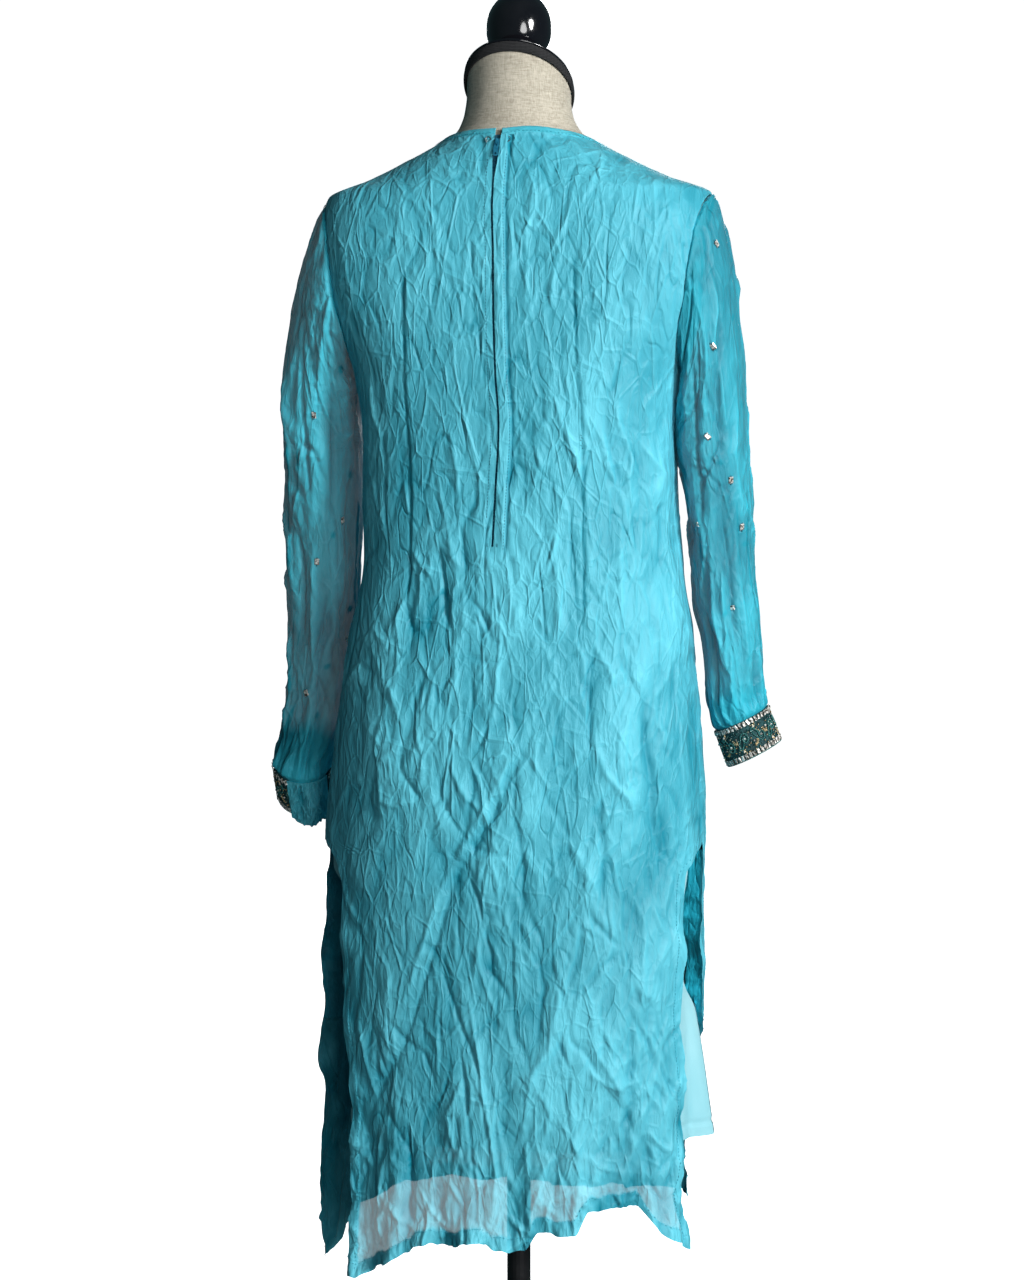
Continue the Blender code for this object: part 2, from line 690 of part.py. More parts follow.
def make_facing(side):
    """The narrow strip turned in along the front's edge of a side slit, made from the front's own points."""
    first, last = FACING_ROWS
    outer = FRONT_COLUMNS if side == "left" else 0
    inner = outer - 1 if side == "left" else 1

    def point(i, j):
        rim = front_point(outer, first + j)
        along = front_point(inner, first + j) - rim
        inward = Vector((along.y, -along.x, 0)).normalized()
        if inward.dot(Vector((-rim.x, -rim.y, 0))) < 0:
            inward.negate()
        step = (FACING_EDGE + (FACING_WIDTH - FACING_EDGE) * i / 2) * MM
        return rim + along.normalized() * step + inward * (WALL + TOUCH + FACING_GAP) * MM

    bm = grid_mesh(2, last - first, point)
    return shell("slit_facing_" + side, bm, FACING_WALL, "chiffon")


def zip_point(across, height, away=0.0):
    """A point of the back's surface beside the zip's line, given millimetres to the wearer's left of it."""
    x = smooth(ZIP_COLUMNS, ZIP_LINE, "x", height) - body("shift", height) + across
    side = "left" if x >= 0 else "right"
    length = quarter(round(height, 3), "back", 0)[0][-1][0]
    return on_body("back", side, abs(x) / length, height, away)


ZIP_ROWS = 26
ZIP_BELOW = 9
ZIP_UNDER = 0.8


def make_zip():
    """The zip's tape under the slash, and its slider and pull tab at the top."""
    top = smooth(NECK_COLUMNS, NECK, "back", 0) - BINDING_WIDTH - 1
    bottom = ZIP_END - ZIP_BELOW

    def point(i, j):
        height = bottom + (top - bottom) * j / ZIP_ROWS
        return zip_point((i - 1) * ZIP_TAPE_WIDTH / 2, height, -WALL - ZIP_UNDER)

    shell("zip_tape", grid_mesh(2, ZIP_ROWS, point), ZIP_TAPE_WALL, "zip")
    make_slider()


def box(name, size, centre, color, place=None):
    """A box from the cube primitive, its size kept in its mesh."""
    bm = bmesh.new()
    bmesh.ops.create_cube(bm, size=1.0)
    bmesh.ops.scale(bm, vec=Vector(size) * MM, verts=bm.verts)
    bmesh.ops.translate(bm, vec=Vector(centre) * MM, verts=bm.verts)
    data = bpy.data.meshes.new(name)
    bm.to_mesh(data)
    bm.free()
    return add(name, data, color, place)


# The slider and its tab, in millimetres: width, depth out of the cloth, length along the zip
SLIDER_HEIGHT = 1409
SLIDER_SIZE = (5.0, 2.2, 9.0)
BRIDGE_WIDTH = 1.4
BRIDGE_LENGTH = 6.2
BRIDGE_LEG = 1.0
BRIDGE_GAP = 1.9
BRIDGE_TOP = 0.9
BRIDGE_SINK = 0.4
TAB_WIDTH = 5.0
TAB_LENGTH = 17.0
TAB_WALL = 0.9
TAB_BAR = 1.1
TAB_WINDOW = 4.6
TAB_HOLE = 1.3
TAB_PLAY = 0.4


def make_slider():
    """A slider with a bridge, and a tab whose top bar turns under that bridge."""
    spot = zip_point(0, SLIDER_HEIGHT)
    above = zip_point(0, SLIDER_HEIGHT + 4)
    lean = math.atan2(spot.y - above.y, above.z - spot.z)
    seat = -WALL + TOUCH
    body_middle = seat + SLIDER_SIZE[1] / 2
    top = seat + SLIDER_SIZE[1]
    slider = box("zip_slider", SLIDER_SIZE, (0, body_middle, 0), "zip_metal")
    bridge_middle = top + BRIDGE_GAP + BRIDGE_TOP / 2
    pieces = [box("bridge_beam", (BRIDGE_WIDTH, BRIDGE_TOP, BRIDGE_LENGTH), (0, bridge_middle, 0), "zip_metal",
                  CUTTERS)]
    for end in (-1, 1):
        reach = end * (BRIDGE_LENGTH - BRIDGE_LEG) / 2
        height = BRIDGE_GAP + BRIDGE_SINK + BRIDGE_TOP / 2
        pieces.append(box("bridge_leg", (BRIDGE_WIDTH, height, BRIDGE_LEG),
                          (0, top - BRIDGE_SINK + height / 2, reach), "zip_metal", CUTTERS))
    for piece in pieces:
        union = slider.modifiers.new("Bridge", "BOOLEAN")
        union.operation = "UNION"
        union.object = piece
        union.solver = "EXACT"
    turn = Matrix.Translation(spot) @ Matrix.Rotation(lean, 4, "X")
    for piece in [slider, *pieces]:
        piece.matrix_world = turn
    hide(pieces)
    axis = turn @ (Vector((0, top + BRIDGE_GAP / 2, 0)) * MM)
    make_tab(axis, lean)


def make_tab(axis, lean):
    """The pull tab: a plate with a window for the bridge and a round hole, its origin on its hinge line."""
    curve = bpy.data.curves.new("zip_pull", "CURVE")
    curve.dimensions = "2D"
    curve.fill_mode = "BOTH"
    curve.extrude = TAB_WALL / 2 * MM
    half = TAB_WIDTH / 2
    low = TAB_BAR / 2 - TAB_LENGTH
    outline = [(TAB_PLAY - half, TAB_BAR / 2), (half - TAB_PLAY, TAB_BAR / 2), (half, TAB_BAR / 2 - TAB_PLAY)]
    for k in range(9):
        angle = math.radians(-180 * k / 8)
        outline.append((half * math.cos(angle), low + half + half * math.sin(angle)))
    outline += [(-half, TAB_BAR / 2 - TAB_PLAY)]
    window = BRIDGE_WIDTH / 2 + TAB_PLAY
    opening = [(-window, -TAB_BAR / 2), (window, -TAB_BAR / 2), (window, -TAB_BAR / 2 - TAB_WINDOW),
               (-window, -TAB_BAR / 2 - TAB_WINDOW)]
    hole = []
    for k in range(10):
        angle = math.radians(36 * k)
        hole.append((TAB_HOLE * math.cos(angle), low + half + TAB_PLAY + TAB_HOLE * math.sin(angle)))
    for points in (outline, opening, hole):
        spline = curve.splines.new("POLY")
        spline.points.add(len(points) - 1)
        for point, (x, y) in zip(spline.points, points):
            point.co = (x * MM, y * MM, 0, 1)
        spline.use_cyclic_u = True
    tab = add("zip_pull", curve, "zip_metal")
    tab.location = axis
    tab.rotation_euler = (math.radians(90) + lean, 0, 0)


def hide(objects):
    """Marks cutters so that they never show."""
    for o in objects:
        o.hide_render = True
        o.display_type = "WIRE"


def wire(name, points, radius, color="wire"):
    """A bent wire through points given in metres."""
    curve = bpy.data.curves.new(name, "CURVE")
    curve.dimensions = "3D"
    curve.bevel_depth = radius * MM
    curve.bevel_resolution = 1
    curve.use_fill_caps = True
    spline = curve.splines.new("POLY")
    spline.points.add(len(points) - 1)
    for point, spot in zip(spline.points, points):
        point.co = (*spot, 1)
    return add(name, curve, color)


HOOK_WIRE = 0.45
HOOK_PLACE = (9.5, 1413)
HOOK_REACH = 3.4
HOOK_LIFT = 0.3
HOOK_RISE = 1.2
HOOK_DRIFT = 2.2


def make_hook_and_eye():
    """A wire hook on the wearer's left of the zip and its eye on the right, lying on the cloth."""
    lift = HOOK_WIRE + HOOK_LIFT
    across, height = HOOK_PLACE
    hook = []
    for k in range(15):
        angle = math.radians(200 - 380 * k / 14)
        rise = lift + HOOK_RISE * (k / 14) ** 2
        hook.append(zip_point(across + HOOK_REACH * (0.9 - k / 24) * math.cos(angle) + HOOK_DRIFT * k / 14,
                              height + HOOK_REACH * 0.8 * math.sin(angle), rise))
    wire("neck_hook", hook, HOOK_WIRE)
    eye = []
    for k in range(13):
        angle = math.radians(60 + 240 * k / 12)
        eye.append(zip_point(-across + HOOK_REACH * math.cos(angle), height + HOOK_REACH * math.sin(angle) * 0.9,
                             lift))
    wire("neck_eye", eye, HOOK_WIRE)


FORM_HEIGHTS = (FORM_BOTTOM, 690, 730, 780, 830, 880, 930, 985, 1040, 1095, 1140, 1185, 1225, 1262, 1298, 1326, 1345,
                1357, 1363, 1374, 1388, 1403, 1417, 1430, 1446, 1462)
FORM_QUARTER = 6
FORM_TUCK = 6.0


def form_section(height, turn_step, steps, tuck=0.0):
    """A point of the dress form's section; turn_step counts round from the centre of the back."""
    k = turn_step % (4 * steps)
    part, step = divmod(k, steps)
    face = "back" if part in (0, 3) else "front"
    side = "left" if part < 2 else "right"
    share = step / steps if part in (0, 2) else 1 - step / steps
    return on_body(face, side, share, height, -tuck, loose=1)


def make_form():
    """The torso with its shoulders and neck, smooth and closed, ending at the hips."""
    rows = len(FORM_HEIGHTS)
    around = 4 * FORM_QUARTER

    def point(i, j):
        if j == rows:
            flat = form_section(NECK_TOP, i, FORM_QUARTER)
            return Vector((flat.x, flat.y, NECK_TOP * MM + NECK_SLOPE * flat.y))
        height = FORM_HEIGHTS[j]
        flat = form_section(height, i, FORM_QUARTER, FORM_TUCK if j == 0 else 0.0)
        rise = max(0.0, (height - NECK_SLOPE_START) / (NECK_TOP - NECK_SLOPE_START)) * NECK_SLOPE
        return Vector((flat.x, flat.y, flat.z + rise * flat.y))

    solid("form_torso", grid_mesh(around, rows, point, closed=True), "linen")


def solid(name, bm, color):
    """A closed body from a tube whose two ends are filled."""
    ends = [e for e in bm.edges if e.is_boundary]
    bmesh.ops.holes_fill(bm, edges=ends, sides=0)
    data = mesh_from(name, bm)
    data.set_sharp_from_angle(angle=math.radians(50))
    return add(name, data, color)


NECK_SIDES = 28
FINIAL_FOOT_RADIUS = 20.0


def neck_ring(turn, grow, up, slope=NECK_SLOPE):
    """A point round the top of the neck: millimetres wider than the neck and above its sloping top."""
    wide = body("half_width", NECK_TOP) - body("loose_side", NECK_TOP) + grow
    radians = math.radians(turn)
    depth = body("back" if math.sin(radians) >= 0 else "front", NECK_TOP) - body("loose_back", NECK_TOP) + grow
    x, y = wide * math.cos(radians), depth * math.sin(radians)
    return Vector((x, y, NECK_TOP + up + slope * y)) * MM


def make_neck_top():
    """The braid round the neck's top, the cap on it and the turned finial."""
    section = ((0.9, -0.6), (TRIM_WALL - 0.6, 0.2), (TRIM_WALL + 0.4, -TRIM_HEIGHT / 2), (TRIM_WALL, -TRIM_HEIGHT),
               (1.7, -TRIM_HEIGHT - 0.6))
    bm = grid_mesh(NECK_SIDES, len(section), lambda i, j: neck_ring(360 * i / NECK_SIDES, *section[j]),
                   closed=True, wrapped=True)
    add("neck_trim", mesh_from("neck_trim", bm), "braid")
    foot = FINIAL_FOOT - NECK_TOP - TOUCH
    rings = ((2.0, 0.7, NECK_SLOPE), (2.0, 3.0, NECK_SLOPE), (-3.0, 5.5, NECK_SLOPE), (-18.0, 11.0, 0.42),
             (-30.0, foot - 1, 0.05), (-31.0, foot, 0.0))
    bm = grid_mesh(NECK_SIDES, len(rings) - 1, lambda i, j: neck_ring(360 * i / NECK_SIDES, *rings[j]), closed=True)
    solid("neck_cap", bm, "gloss_black")
    make_finial()


def make_finial():
    """A turned knob: a short foot, a round belly and a domed top."""
    profile = [(0.0, FINIAL_TOP)]
    dome = FINIAL_TOP - FINIAL_RADIUS * 1.05
    for k in range(1, 10):
        angle = math.radians(10 * k)
        profile.append((FINIAL_RADIUS * math.sin(angle), dome + (FINIAL_TOP - dome) * math.cos(angle)))
    profile += [(FINIAL_RADIUS, dome - 8), (FINIAL_RADIUS - 1.5, dome - 16), (FINIAL_RADIUS - 7, dome - 25),
                (FINIAL_FOOT_RADIUS, FINIAL_FOOT + 5), (FINIAL_FOOT_RADIUS, FINIAL_FOOT), (0.0, FINIAL_FOOT)]
    turned("finial", profile, 22, "gloss_black")


def turned(name, profile, steps, color):
    """A turned solid from (radius, height) points that run from the top to the bottom."""
    data = bpy.data.meshes.new(name)
    bm = bmesh.new()
    verts = [bm.verts.new((radius * MM, 0, height * MM)) for radius, height in profile]
    for a, b in zip(verts, verts[1:]):
        bm.edges.new((a, b))
    bm.to_mesh(data)
    bm.free()
    made = add(name, data, color)
    screw = made.modifiers.new("Turn", "SCREW")
    screw.steps = steps
    screw.render_steps = steps
    screw.use_merge_vertices = True
    screw.merge_threshold = 0.00001
    screw.use_smooth_shade = True
    return made


def make_stand():
    """A plain pole on a round flat base."""
    pole_top = FORM_BOTTOM - TOUCH
    turned("pole", [(0, pole_top), (POLE_RADIUS, pole_top), (POLE_RADIUS, BASE_THICKNESS + TOUCH),
                    (0, BASE_THICKNESS + TOUCH)], 20, "stand")
    turned("base", [(0, BASE_THICKNESS), (BASE_RADIUS - 5, BASE_THICKNESS),
                    (BASE_RADIUS - 1.5, BASE_THICKNESS - 1.5), (BASE_RADIUS, BASE_THICKNESS - 5), (BASE_RADIUS, 0),
                    (0, 0)], 40, "stand")


for old in list(bpy.data.objects):
    bpy.data.objects.remove(old, do_unlink=True)
COLLECTION = bpy.data.collections.new("kurti on dress form")
CUTTERS = bpy.data.collections.new("cutters")
bpy.context.scene.collection.children.link(COLLECTION)
bpy.context.scene.collection.children.link(CUTTERS)

make_form()
make_neck_top()
make_stand()
make_back()
make_front()
make_binding()
for hand_side in ("left", "right"):
    make_sleeve(hand_side)
    make_cuff(hand_side)
    make_facing(hand_side)
for panel_face in ("back", "front"):
    make_lining(panel_face)
make_zip()
make_hook_and_eye()
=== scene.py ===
# %% [markdown]
# # A long sleeved kurti on a dress form
# The solids of the garment and of the form come ready, in metres, as a fixed frame. This script dresses them: it lays
# a fine cloth over each plain panel, sews and beads it, and gives every surface a finish. The frame comes first,
# because every piece takes its place from it.

# %% The frame
import math
from contextlib import contextmanager

import bmesh
import bpy
import numpy as np
from mathutils import Matrix, Vector
from mathutils.bvhtree import BVHTree


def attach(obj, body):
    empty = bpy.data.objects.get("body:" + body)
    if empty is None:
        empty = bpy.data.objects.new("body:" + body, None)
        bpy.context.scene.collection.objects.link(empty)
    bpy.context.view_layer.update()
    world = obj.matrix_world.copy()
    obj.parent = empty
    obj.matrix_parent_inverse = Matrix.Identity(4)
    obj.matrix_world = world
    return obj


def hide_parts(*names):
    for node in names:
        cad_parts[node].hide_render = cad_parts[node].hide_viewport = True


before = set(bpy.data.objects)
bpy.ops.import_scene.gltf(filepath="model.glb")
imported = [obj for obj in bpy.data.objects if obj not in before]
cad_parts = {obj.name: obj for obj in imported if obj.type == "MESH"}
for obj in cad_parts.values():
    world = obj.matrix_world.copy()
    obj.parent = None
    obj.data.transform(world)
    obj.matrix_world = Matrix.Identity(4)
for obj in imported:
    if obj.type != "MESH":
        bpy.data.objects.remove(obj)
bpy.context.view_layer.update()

MM = 0.001
ROOT = "dressed_form"
HANDS = {"left": 1, "right": -1}

# %% [markdown]
# ## Small helpers
# A few steps come back for every piece. A mesh is opened in bmesh and written back, an object is made, linked and
# hung on its body, an open sheet gets a wall, and the solids that a piece takes the place of are hidden.

# %% Helpers
MERGE = 1e-6


@contextmanager
def edited(data):
    """Opens a mesh in bmesh for the lines of a with block, then writes it back."""
    bm = bmesh.new()
    bm.from_mesh(data)
    yield bm
    bm.to_mesh(data)
    bm.free()


def mesh_from(bm, name):
    """A mesh from a finished bmesh, which is freed."""
    data = bpy.data.meshes.new(name)
    bm.to_mesh(data)
    bm.free()
    return data


def linked(name, data):
    """An object of a mesh, light or camera, linked to the scene."""
    made = bpy.data.objects.new(name, data)
    bpy.context.scene.collection.objects.link(made)
    return made


def riding(name, data, finish):
    """An object with one finish that rides on the root body."""
    data.materials.append(finish)
    made = linked(name, data)
    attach(made, ROOT)
    return made


def stands_for(made, slot, *nodes):
    """Hides the solids that a piece takes the place of. The slot of its finish is not used."""
    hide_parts(*nodes)
    return made


def walled(made, thickness):
    """Gives an open sheet a wall of some millimetres, inward from its faces."""
    wall = made.modifiers.new("Wall", "SOLIDIFY")
    wall.thickness = thickness * MM
    wall.offset = -1
    return made


print("helpers ready")

# %% [markdown]
# ## The camera
# The garment is seen from behind, a little from its right and from chest height. A long lens from a few metres keeps
# its lines upright. The camera is placed by an azimuth, an elevation and a distance from a point inside the cloth,
# which is easier to judge against a picture than a location and three angles.

# %% The camera
AZIMUTH, ELEVATION, DISTANCE, LENS, SEES = 192, 4, 2.7, 72.8, 80
TARGET = Vector((0.00714, 0.0015, 0.905))
turn, rise = math.radians(AZIMUTH), math.radians(ELEVATION)
look = Vector((-math.sin(turn) * math.cos(rise), math.cos(turn) * math.cos(rise), -math.sin(rise)))
lens = bpy.data.cameras.new("camera")
lens.lens = LENS
lens.clip_end = SEES
camera = linked("camera", lens)
camera.location = TARGET - DISTANCE * look
camera.rotation_euler = look.to_track_quat("-Z", "Y").to_euler()
bpy.context.scene.camera = camera
print("camera at", [round(c, 3) for c in camera.location])

# %% [markdown]
# ## Shader maths as sums
# A material is a web of nodes. Drawing one by hand is quick, but as text it grows long, so a small class wraps an
# output socket and turns the usual signs into Math nodes. One method adds any other node: it takes the node's type,
# its settings, and the values or links of its sockets.

# %% A class for shader maths
class Wire:
    """One output socket, so that shader maths reads as an expression."""

    def __init__(self, finish, socket):
        self.finish = finish
        self.socket = socket

    def math(self, operation, a, b=0.0):
        return self.finish.node("ShaderNodeMath", {"operation": operation}, {0: a, 1: b})

    def __add__(self, other):
        return self.math("ADD", self, other)

    def __sub__(self, other):
        return self.math("SUBTRACT", self, other)

    def __rsub__(self, other):
        return self.math("SUBTRACT", other, self)

    def __mul__(self, other):
        return self.math("MULTIPLY", self, other)

    __radd__ = __add__
    __rmul__ = __mul__


class Finish:
    """A material with one Principled shader. Its constants are set on the shader's own sockets."""

    def __init__(self, name, **constants):
        self.material = bpy.data.materials.new(name)
        self.material.use_nodes = True
        self.tree = self.material.node_tree
        self.shader = self.tree.nodes["Principled BSDF"]
        for socket, value in constants.items():
            self.put(self.shader.inputs[socket.replace("_", " ")], value)

    def put(self, socket, value):
        if isinstance(value, Wire):
            self.tree.links.new(value.socket, socket)
        elif isinstance(value, (tuple, list)) and len(value) == 3 and socket.type == "RGBA":
            socket.default_value = (*value, 1)
        else:
            socket.default_value = value

    def node(self, kind, settings, sockets, out=0):
        """Adds a node of any type, its settings first, then its sockets by name or number."""
        made = self.tree.nodes.new(kind)
        for name, value in settings.items():
            setattr(made, name, value)
        for name, value in sockets.items():
            self.put(made.inputs[name], value)
        return Wire(self, made.outputs[out])

    def feed(self, **links):
        for socket, value in links.items():
            self.put(self.shader.inputs[socket.replace("_", " ")], value)

    def attribute(self, name):
        return self.node("ShaderNodeAttribute", {"attribute_name": name}, {}, 2)

    def uv(self):
        return self.node("ShaderNodeUVMap", {"uv_map": "cloth"}, {})

    def place(self):
        return self.node("ShaderNodeTexCoord", {}, {}, 3)

    def scaled(self, vector, scale, turn=0.0):
        return self.node("ShaderNodeMapping", {}, {"Vector": vector, "Scale": scale, "Rotation": (0, 0, turn)})

    def noise(self, vector, scale=1.0, detail=2.0, roughness=0.5, distortion=0.0):
        return self.node("ShaderNodeTexNoise", {}, {"Vector": vector, "Scale": scale, "Detail": detail,
                                                    "Roughness": roughness, "Distortion": distortion})

    def grain(self, vector, scale, detail=2.0, roughness=0.5, turn=0.0):
        """A noise stretched by a scale for each axis."""
        return self.noise(self.scaled(vector, scale, turn), 1.0, detail, roughness)

    def cells(self, vector, feature="F1"):
        return self.node("ShaderNodeTexVoronoi", {"feature": feature}, {"Vector": vector, "Scale": 1.0})

    def mix(self, factor, a, b):
        return self.node("ShaderNodeMix", {"data_type": "RGBA"}, {0: factor, 6: a, 7: b}, 2)

    def span(self, value, low, high, to_low=0.0, to_high=1.0):
        return self.node("ShaderNodeMapRange", {"clamp": True}, {0: value, 1: low, 2: high, 3: to_low, 4: to_high})

    def part(self, vector, k):
        return self.node("ShaderNodeSeparateXYZ", {}, {0: vector}, k)

    def sine(self, value, period):
        """A wave from -1 to 1 with its period in metres."""
        return self.node("ShaderNodeMath", {"operation": "SINE"}, {0: value * (math.tau / period)})

    def lines(self, vector, scale, turn, width, detail=1.0):
        """Thin wandering lines, 1 along their middle, where a stretched noise passes its mean."""
        level = self.noise(self.scaled(vector, scale, turn), 1.0, detail, 0.45, 0.35) - 0.5
        return self.span(level.math("ABSOLUTE", level), 0.0, width, 1.0, 0.0)

    def borders(self, vector, scale, turn, width, top):
        """Thin straight lines along the borders of a stretched pattern of cells."""
        return self.span(self.cells(self.scaled(vector, scale, turn), "DISTANCE_TO_EDGE"), 0.0, width, top, 0.0)

    def weave(self, vector, period, axes=(0, 1)):
        """Crossed threads, with their period in metres."""
        return self.sine(self.part(vector, axes[0]), period) * self.sine(self.part(vector, axes[1]), period)

    def bump(self, height):
        """Relief given in metres."""
        return self.node("ShaderNodeBump", {}, {"Strength": 1.0, "Distance": 1.0, "Height": height})

    def coat(self, tone, dark, light, wear, rough, height, **more):
        """Two tones, a roughness that follows a noise, and a relief. Gives the finished material."""
        self.feed(Base_Color=self.mix(tone, dark, light), Roughness=self.span(wear, 0.3, 0.7, *rough),
                  Normal=self.bump(height), **more)
        return self.material


print("shader maths ready")

# %% [markdown]
# ## The tables of the garment's form
# The garment hangs on rounded sections that change from the hem to the neck. A pattern maker would draft them from a
# few measurements at named heights, and this does the same: short tables in millimetres, and a smooth curve between
# their rows. They are the tables of the solids, so that the fine cloth lies on them with no fitting.

# %% Tables
NECK_POINT, SHOULDER_POINT, ARMPIT, SLIT_TOP, HEM_ROW = 1418, 1363, 1176, 700, 300
BINDING_WIDTH, ZIP_SLOT, ZIP_SLOT_TOP = 6, 2.4, 6.6
CUFF_WIDTH, LINING_HEM, LINING_TOP = 38, 394, 666
FORM_BOTTOM, NECK_TOP, FINIAL_FOOT, FINIAL_TOP, FINIAL_RADIUS = 682, 1478, 1499, 1571, 33.5

# Sections of the worn body from the hem to the top of the neck. The last three columns say how far the dress form
# lies inside the cloth at the sides, the back and the front.
BODY_COLUMNS = ("height", "shift", "half_width", "back", "front", "power", "loose_side", "loose_back", "loose_front")
BODY = (
    (230, 6, 213, 134, 130, 2.20, 30, 20, 20),
    (320, 6, 211, 132, 129, 2.20, 30, 20, 20),
    (446, 8, 206, 128, 126, 2.20, 30, 20, 20),
    (613, 8, 200, 123, 121, 2.20, 34, 16, 18),
    (697, 5, 199, 120, 119, 2.20, 30, 14, 14),
    (738, 3, 198, 119, 118, 2.20, 24, 11, 11),
    (801, 1, 193, 117, 117, 2.25, 19, 10, 10),
    (842, 0, 188, 113, 116, 2.25, 19, 10, 11),
    (905, -1, 180, 106, 114, 2.30, 23, 12, 14),
    (988, -2, 165, 97, 112, 2.35, 30, 16, 20),
    (1051, 0, 163, 96, 113, 2.40, 32, 20, 24),
    (1114, 0, 162, 98, 119, 2.50, 20, 14, 14),
    (1176, 0, 168, 101, 125, 2.70, 15, 7, 4),
    (1220, 0, 182, 101, 122, 3.00, 22, 4, 3),
    (1260, 0, 195, 100, 113, 3.30, 26, 3.4, 4),
    (1300, 0, 201, 98, 101, 3.40, 18, 3.4, 5),
    (1340, 0, 203, 94, 82, 3.00, 7, 4.4, 4.6),
    (1363, 0, 199, 90, 71, 2.50, 6.5, 4.8, 6.0),
    (1380, 0, 156, 86, 67, 2.30, 6.5, 4.8, 6.0),
    (1400, 0, 114, 80, 64, 2.20, 5.0, 4.4, 4.6),
    (1418, 0, 80, 72, 61, 2.10, 4.6, 4.2, 4.4),
    (1430, 0, 67, 66, 59, 2.00, 4.0, 4.0, 4),
    (1445, 0, 60, 61, 58, 2.00, 4.0, 4.0, 4),
    (1462, 0, 57.6, 59, 58, 2.00, 4.0, 4.0, 4),
    (1480, 0, 57.6, 59, 58, 2.00, 4.0, 4.0, 4),
)

# Where the panels' side edges run, as a share of the way round from the centre to the side: down the open slits,
# up the side seams, round the armholes and along the shoulder seams.
EDGE_COLUMNS = ("height", "back_left", "back_right", "front_left", "front_right")
EDGES = (
    (230, 0.56, 0.78, 0.955, 0.66),
    (300, 0.56, 0.785, 0.955, 0.66),
    (345, 0.565, 0.745, 0.955, 0.66),
    (400, 0.57, 0.78, 0.955, 0.70),
    (450, 0.58, 0.79, 0.957, 0.74),
    (490, 0.61, 0.785, 0.96, 0.84),
    (520, 0.64, 0.78, 0.963, 0.96),
    (545, 0.65, 0.785, 0.965, 0.99),
    (640, 0.67, 0.79, 0.975, 0.99),
    (672, 0.71, 0.80, 0.985, 0.99),
    (688, 0.80, 0.88, 0.995, 0.995),
    (SLIT_TOP, 1, 1, 1, 1),
    (ARMPIT, 1, 1, 1, 1),
    (1184, 0.92, 0.92, 0.91, 0.91),
    (1204, 0.82, 0.82, 0.80, 0.80),
    (1235, 0.765, 0.765, 0.74, 0.74),
    (1280, 0.745, 0.745, 0.71, 0.71),
    (1320, 0.77, 0.77, 0.74, 0.74),
    (1346, 0.84, 0.84, 0.82, 0.82),
    (1358, 0.92, 0.92, 0.91, 0.91),
    (SHOULDER_POINT, 1, 1, 1, 1),
    (1480, 1, 1, 1, 1),
)
# The height of each panel's hem from its right edge (-1) to its left edge (1), and below it the height of the
# neckline from the right shoulder seam to the left one
PANEL_COLUMNS = ("across", "back", "front")
HEM = (
    (-1.00, 287, 300),
    (-0.92, 297, 302),
    (-0.83, 309, 304),
    (-0.75, 339, 304),
    (-0.50, 339, 298),
    (-0.42, 318, 297),
    (-0.25, 317, 295),
    (-0.17, 296, 294),
    (-0.05, 294, 294),
    (0.03, 302, 294),
    (0.25, 297, 295),
    (0.42, 295, 297),
    (0.58, 282, 292),
    (0.75, 265, 268),
    (0.90, 252, 232),
    (1.00, 248, 224),
)
NECK = (
    (-1.00, NECK_POINT, NECK_POINT),
    (-0.60, 1424, 1392),
    (-0.25, 1427, 1352),
    (0.00, 1425, 1340),
    (0.25, 1425, 1352),
    (0.60, 1423, 1392),
    (1.00, NECK_POINT, NECK_POINT),
)
# The zip's line down the back wanders a little to the wearer's left and back.
ZIP_COLUMNS = ("height", "x")
ZIP_LINE = ((1004, 7), (1060, 4), (1130, 0), (1180, 3), (1240, 5), (1300, 6), (1350, 8), (1425, 6))

# Large folds: how far each stands out (or in), how wide it is, and its run over the panel as x, height, x, height ...
FOLDS_BACK = (
    (-5.0, 30, -65, 896, -35, 815, 2, 737, 44, 664, 67, 585, 96, 498, 129, 438, 143, 399),
    (3.5, 26, -88, 905, -62, 830, -30, 752, 10, 690, 30, 640), (3.0, 26, 46, 800, 24, 735, 28, 700, 40, 650),
    (3.0, 28, -112, 800, -110, 690, -104, 600), (-2.5, 24, -154, 790, -150, 660, -146, 540),
    (3.5, 30, 60, 560, 40, 480, 22, 400, 14, 330), (2.5, 30, 110, 900, 122, 760, 128, 640),
    (-2.5, 24, -60, 600, -66, 480, -60, 380), (3.0, 26, -120, 520, -128, 420, -120, 330),
)
FOLDS_FRONT = (
    (-4.0, 32, 60, 900, 20, 800, -26, 690, -70, 560, -96, 450), (3.5, 30, 96, 860, 92, 700, 100, 540, 108, 380),
    (-3.0, 26, -130, 880, -124, 740, -128, 600), (3.0, 28, -10, 560, -16, 440, -8, 330),
    (3.0, 26, 40, 620, 52, 500, 48, 380),
)
# Waves at the hem: where across the panel, how far out, how wide as a share, fading out above the fade height
WAVE_FADE = 470
WAVES = {
    "back": ((-0.86, 6, 0.10), (-0.62, -5, 0.11), (-0.40, 5, 0.10), (-0.12, -5, 0.10), (0.10, 5, 0.11),
             (0.36, -4, 0.12), (0.62, 5, 0.12), (0.86, -5, 0.10)),
    "front": ((-0.80, -4, 0.12), (-0.50, 5, 0.13), (-0.18, -4, 0.13), (0.14, 5, 0.13), (0.46, -4, 0.13),
              (0.78, 5, 0.12)),
}
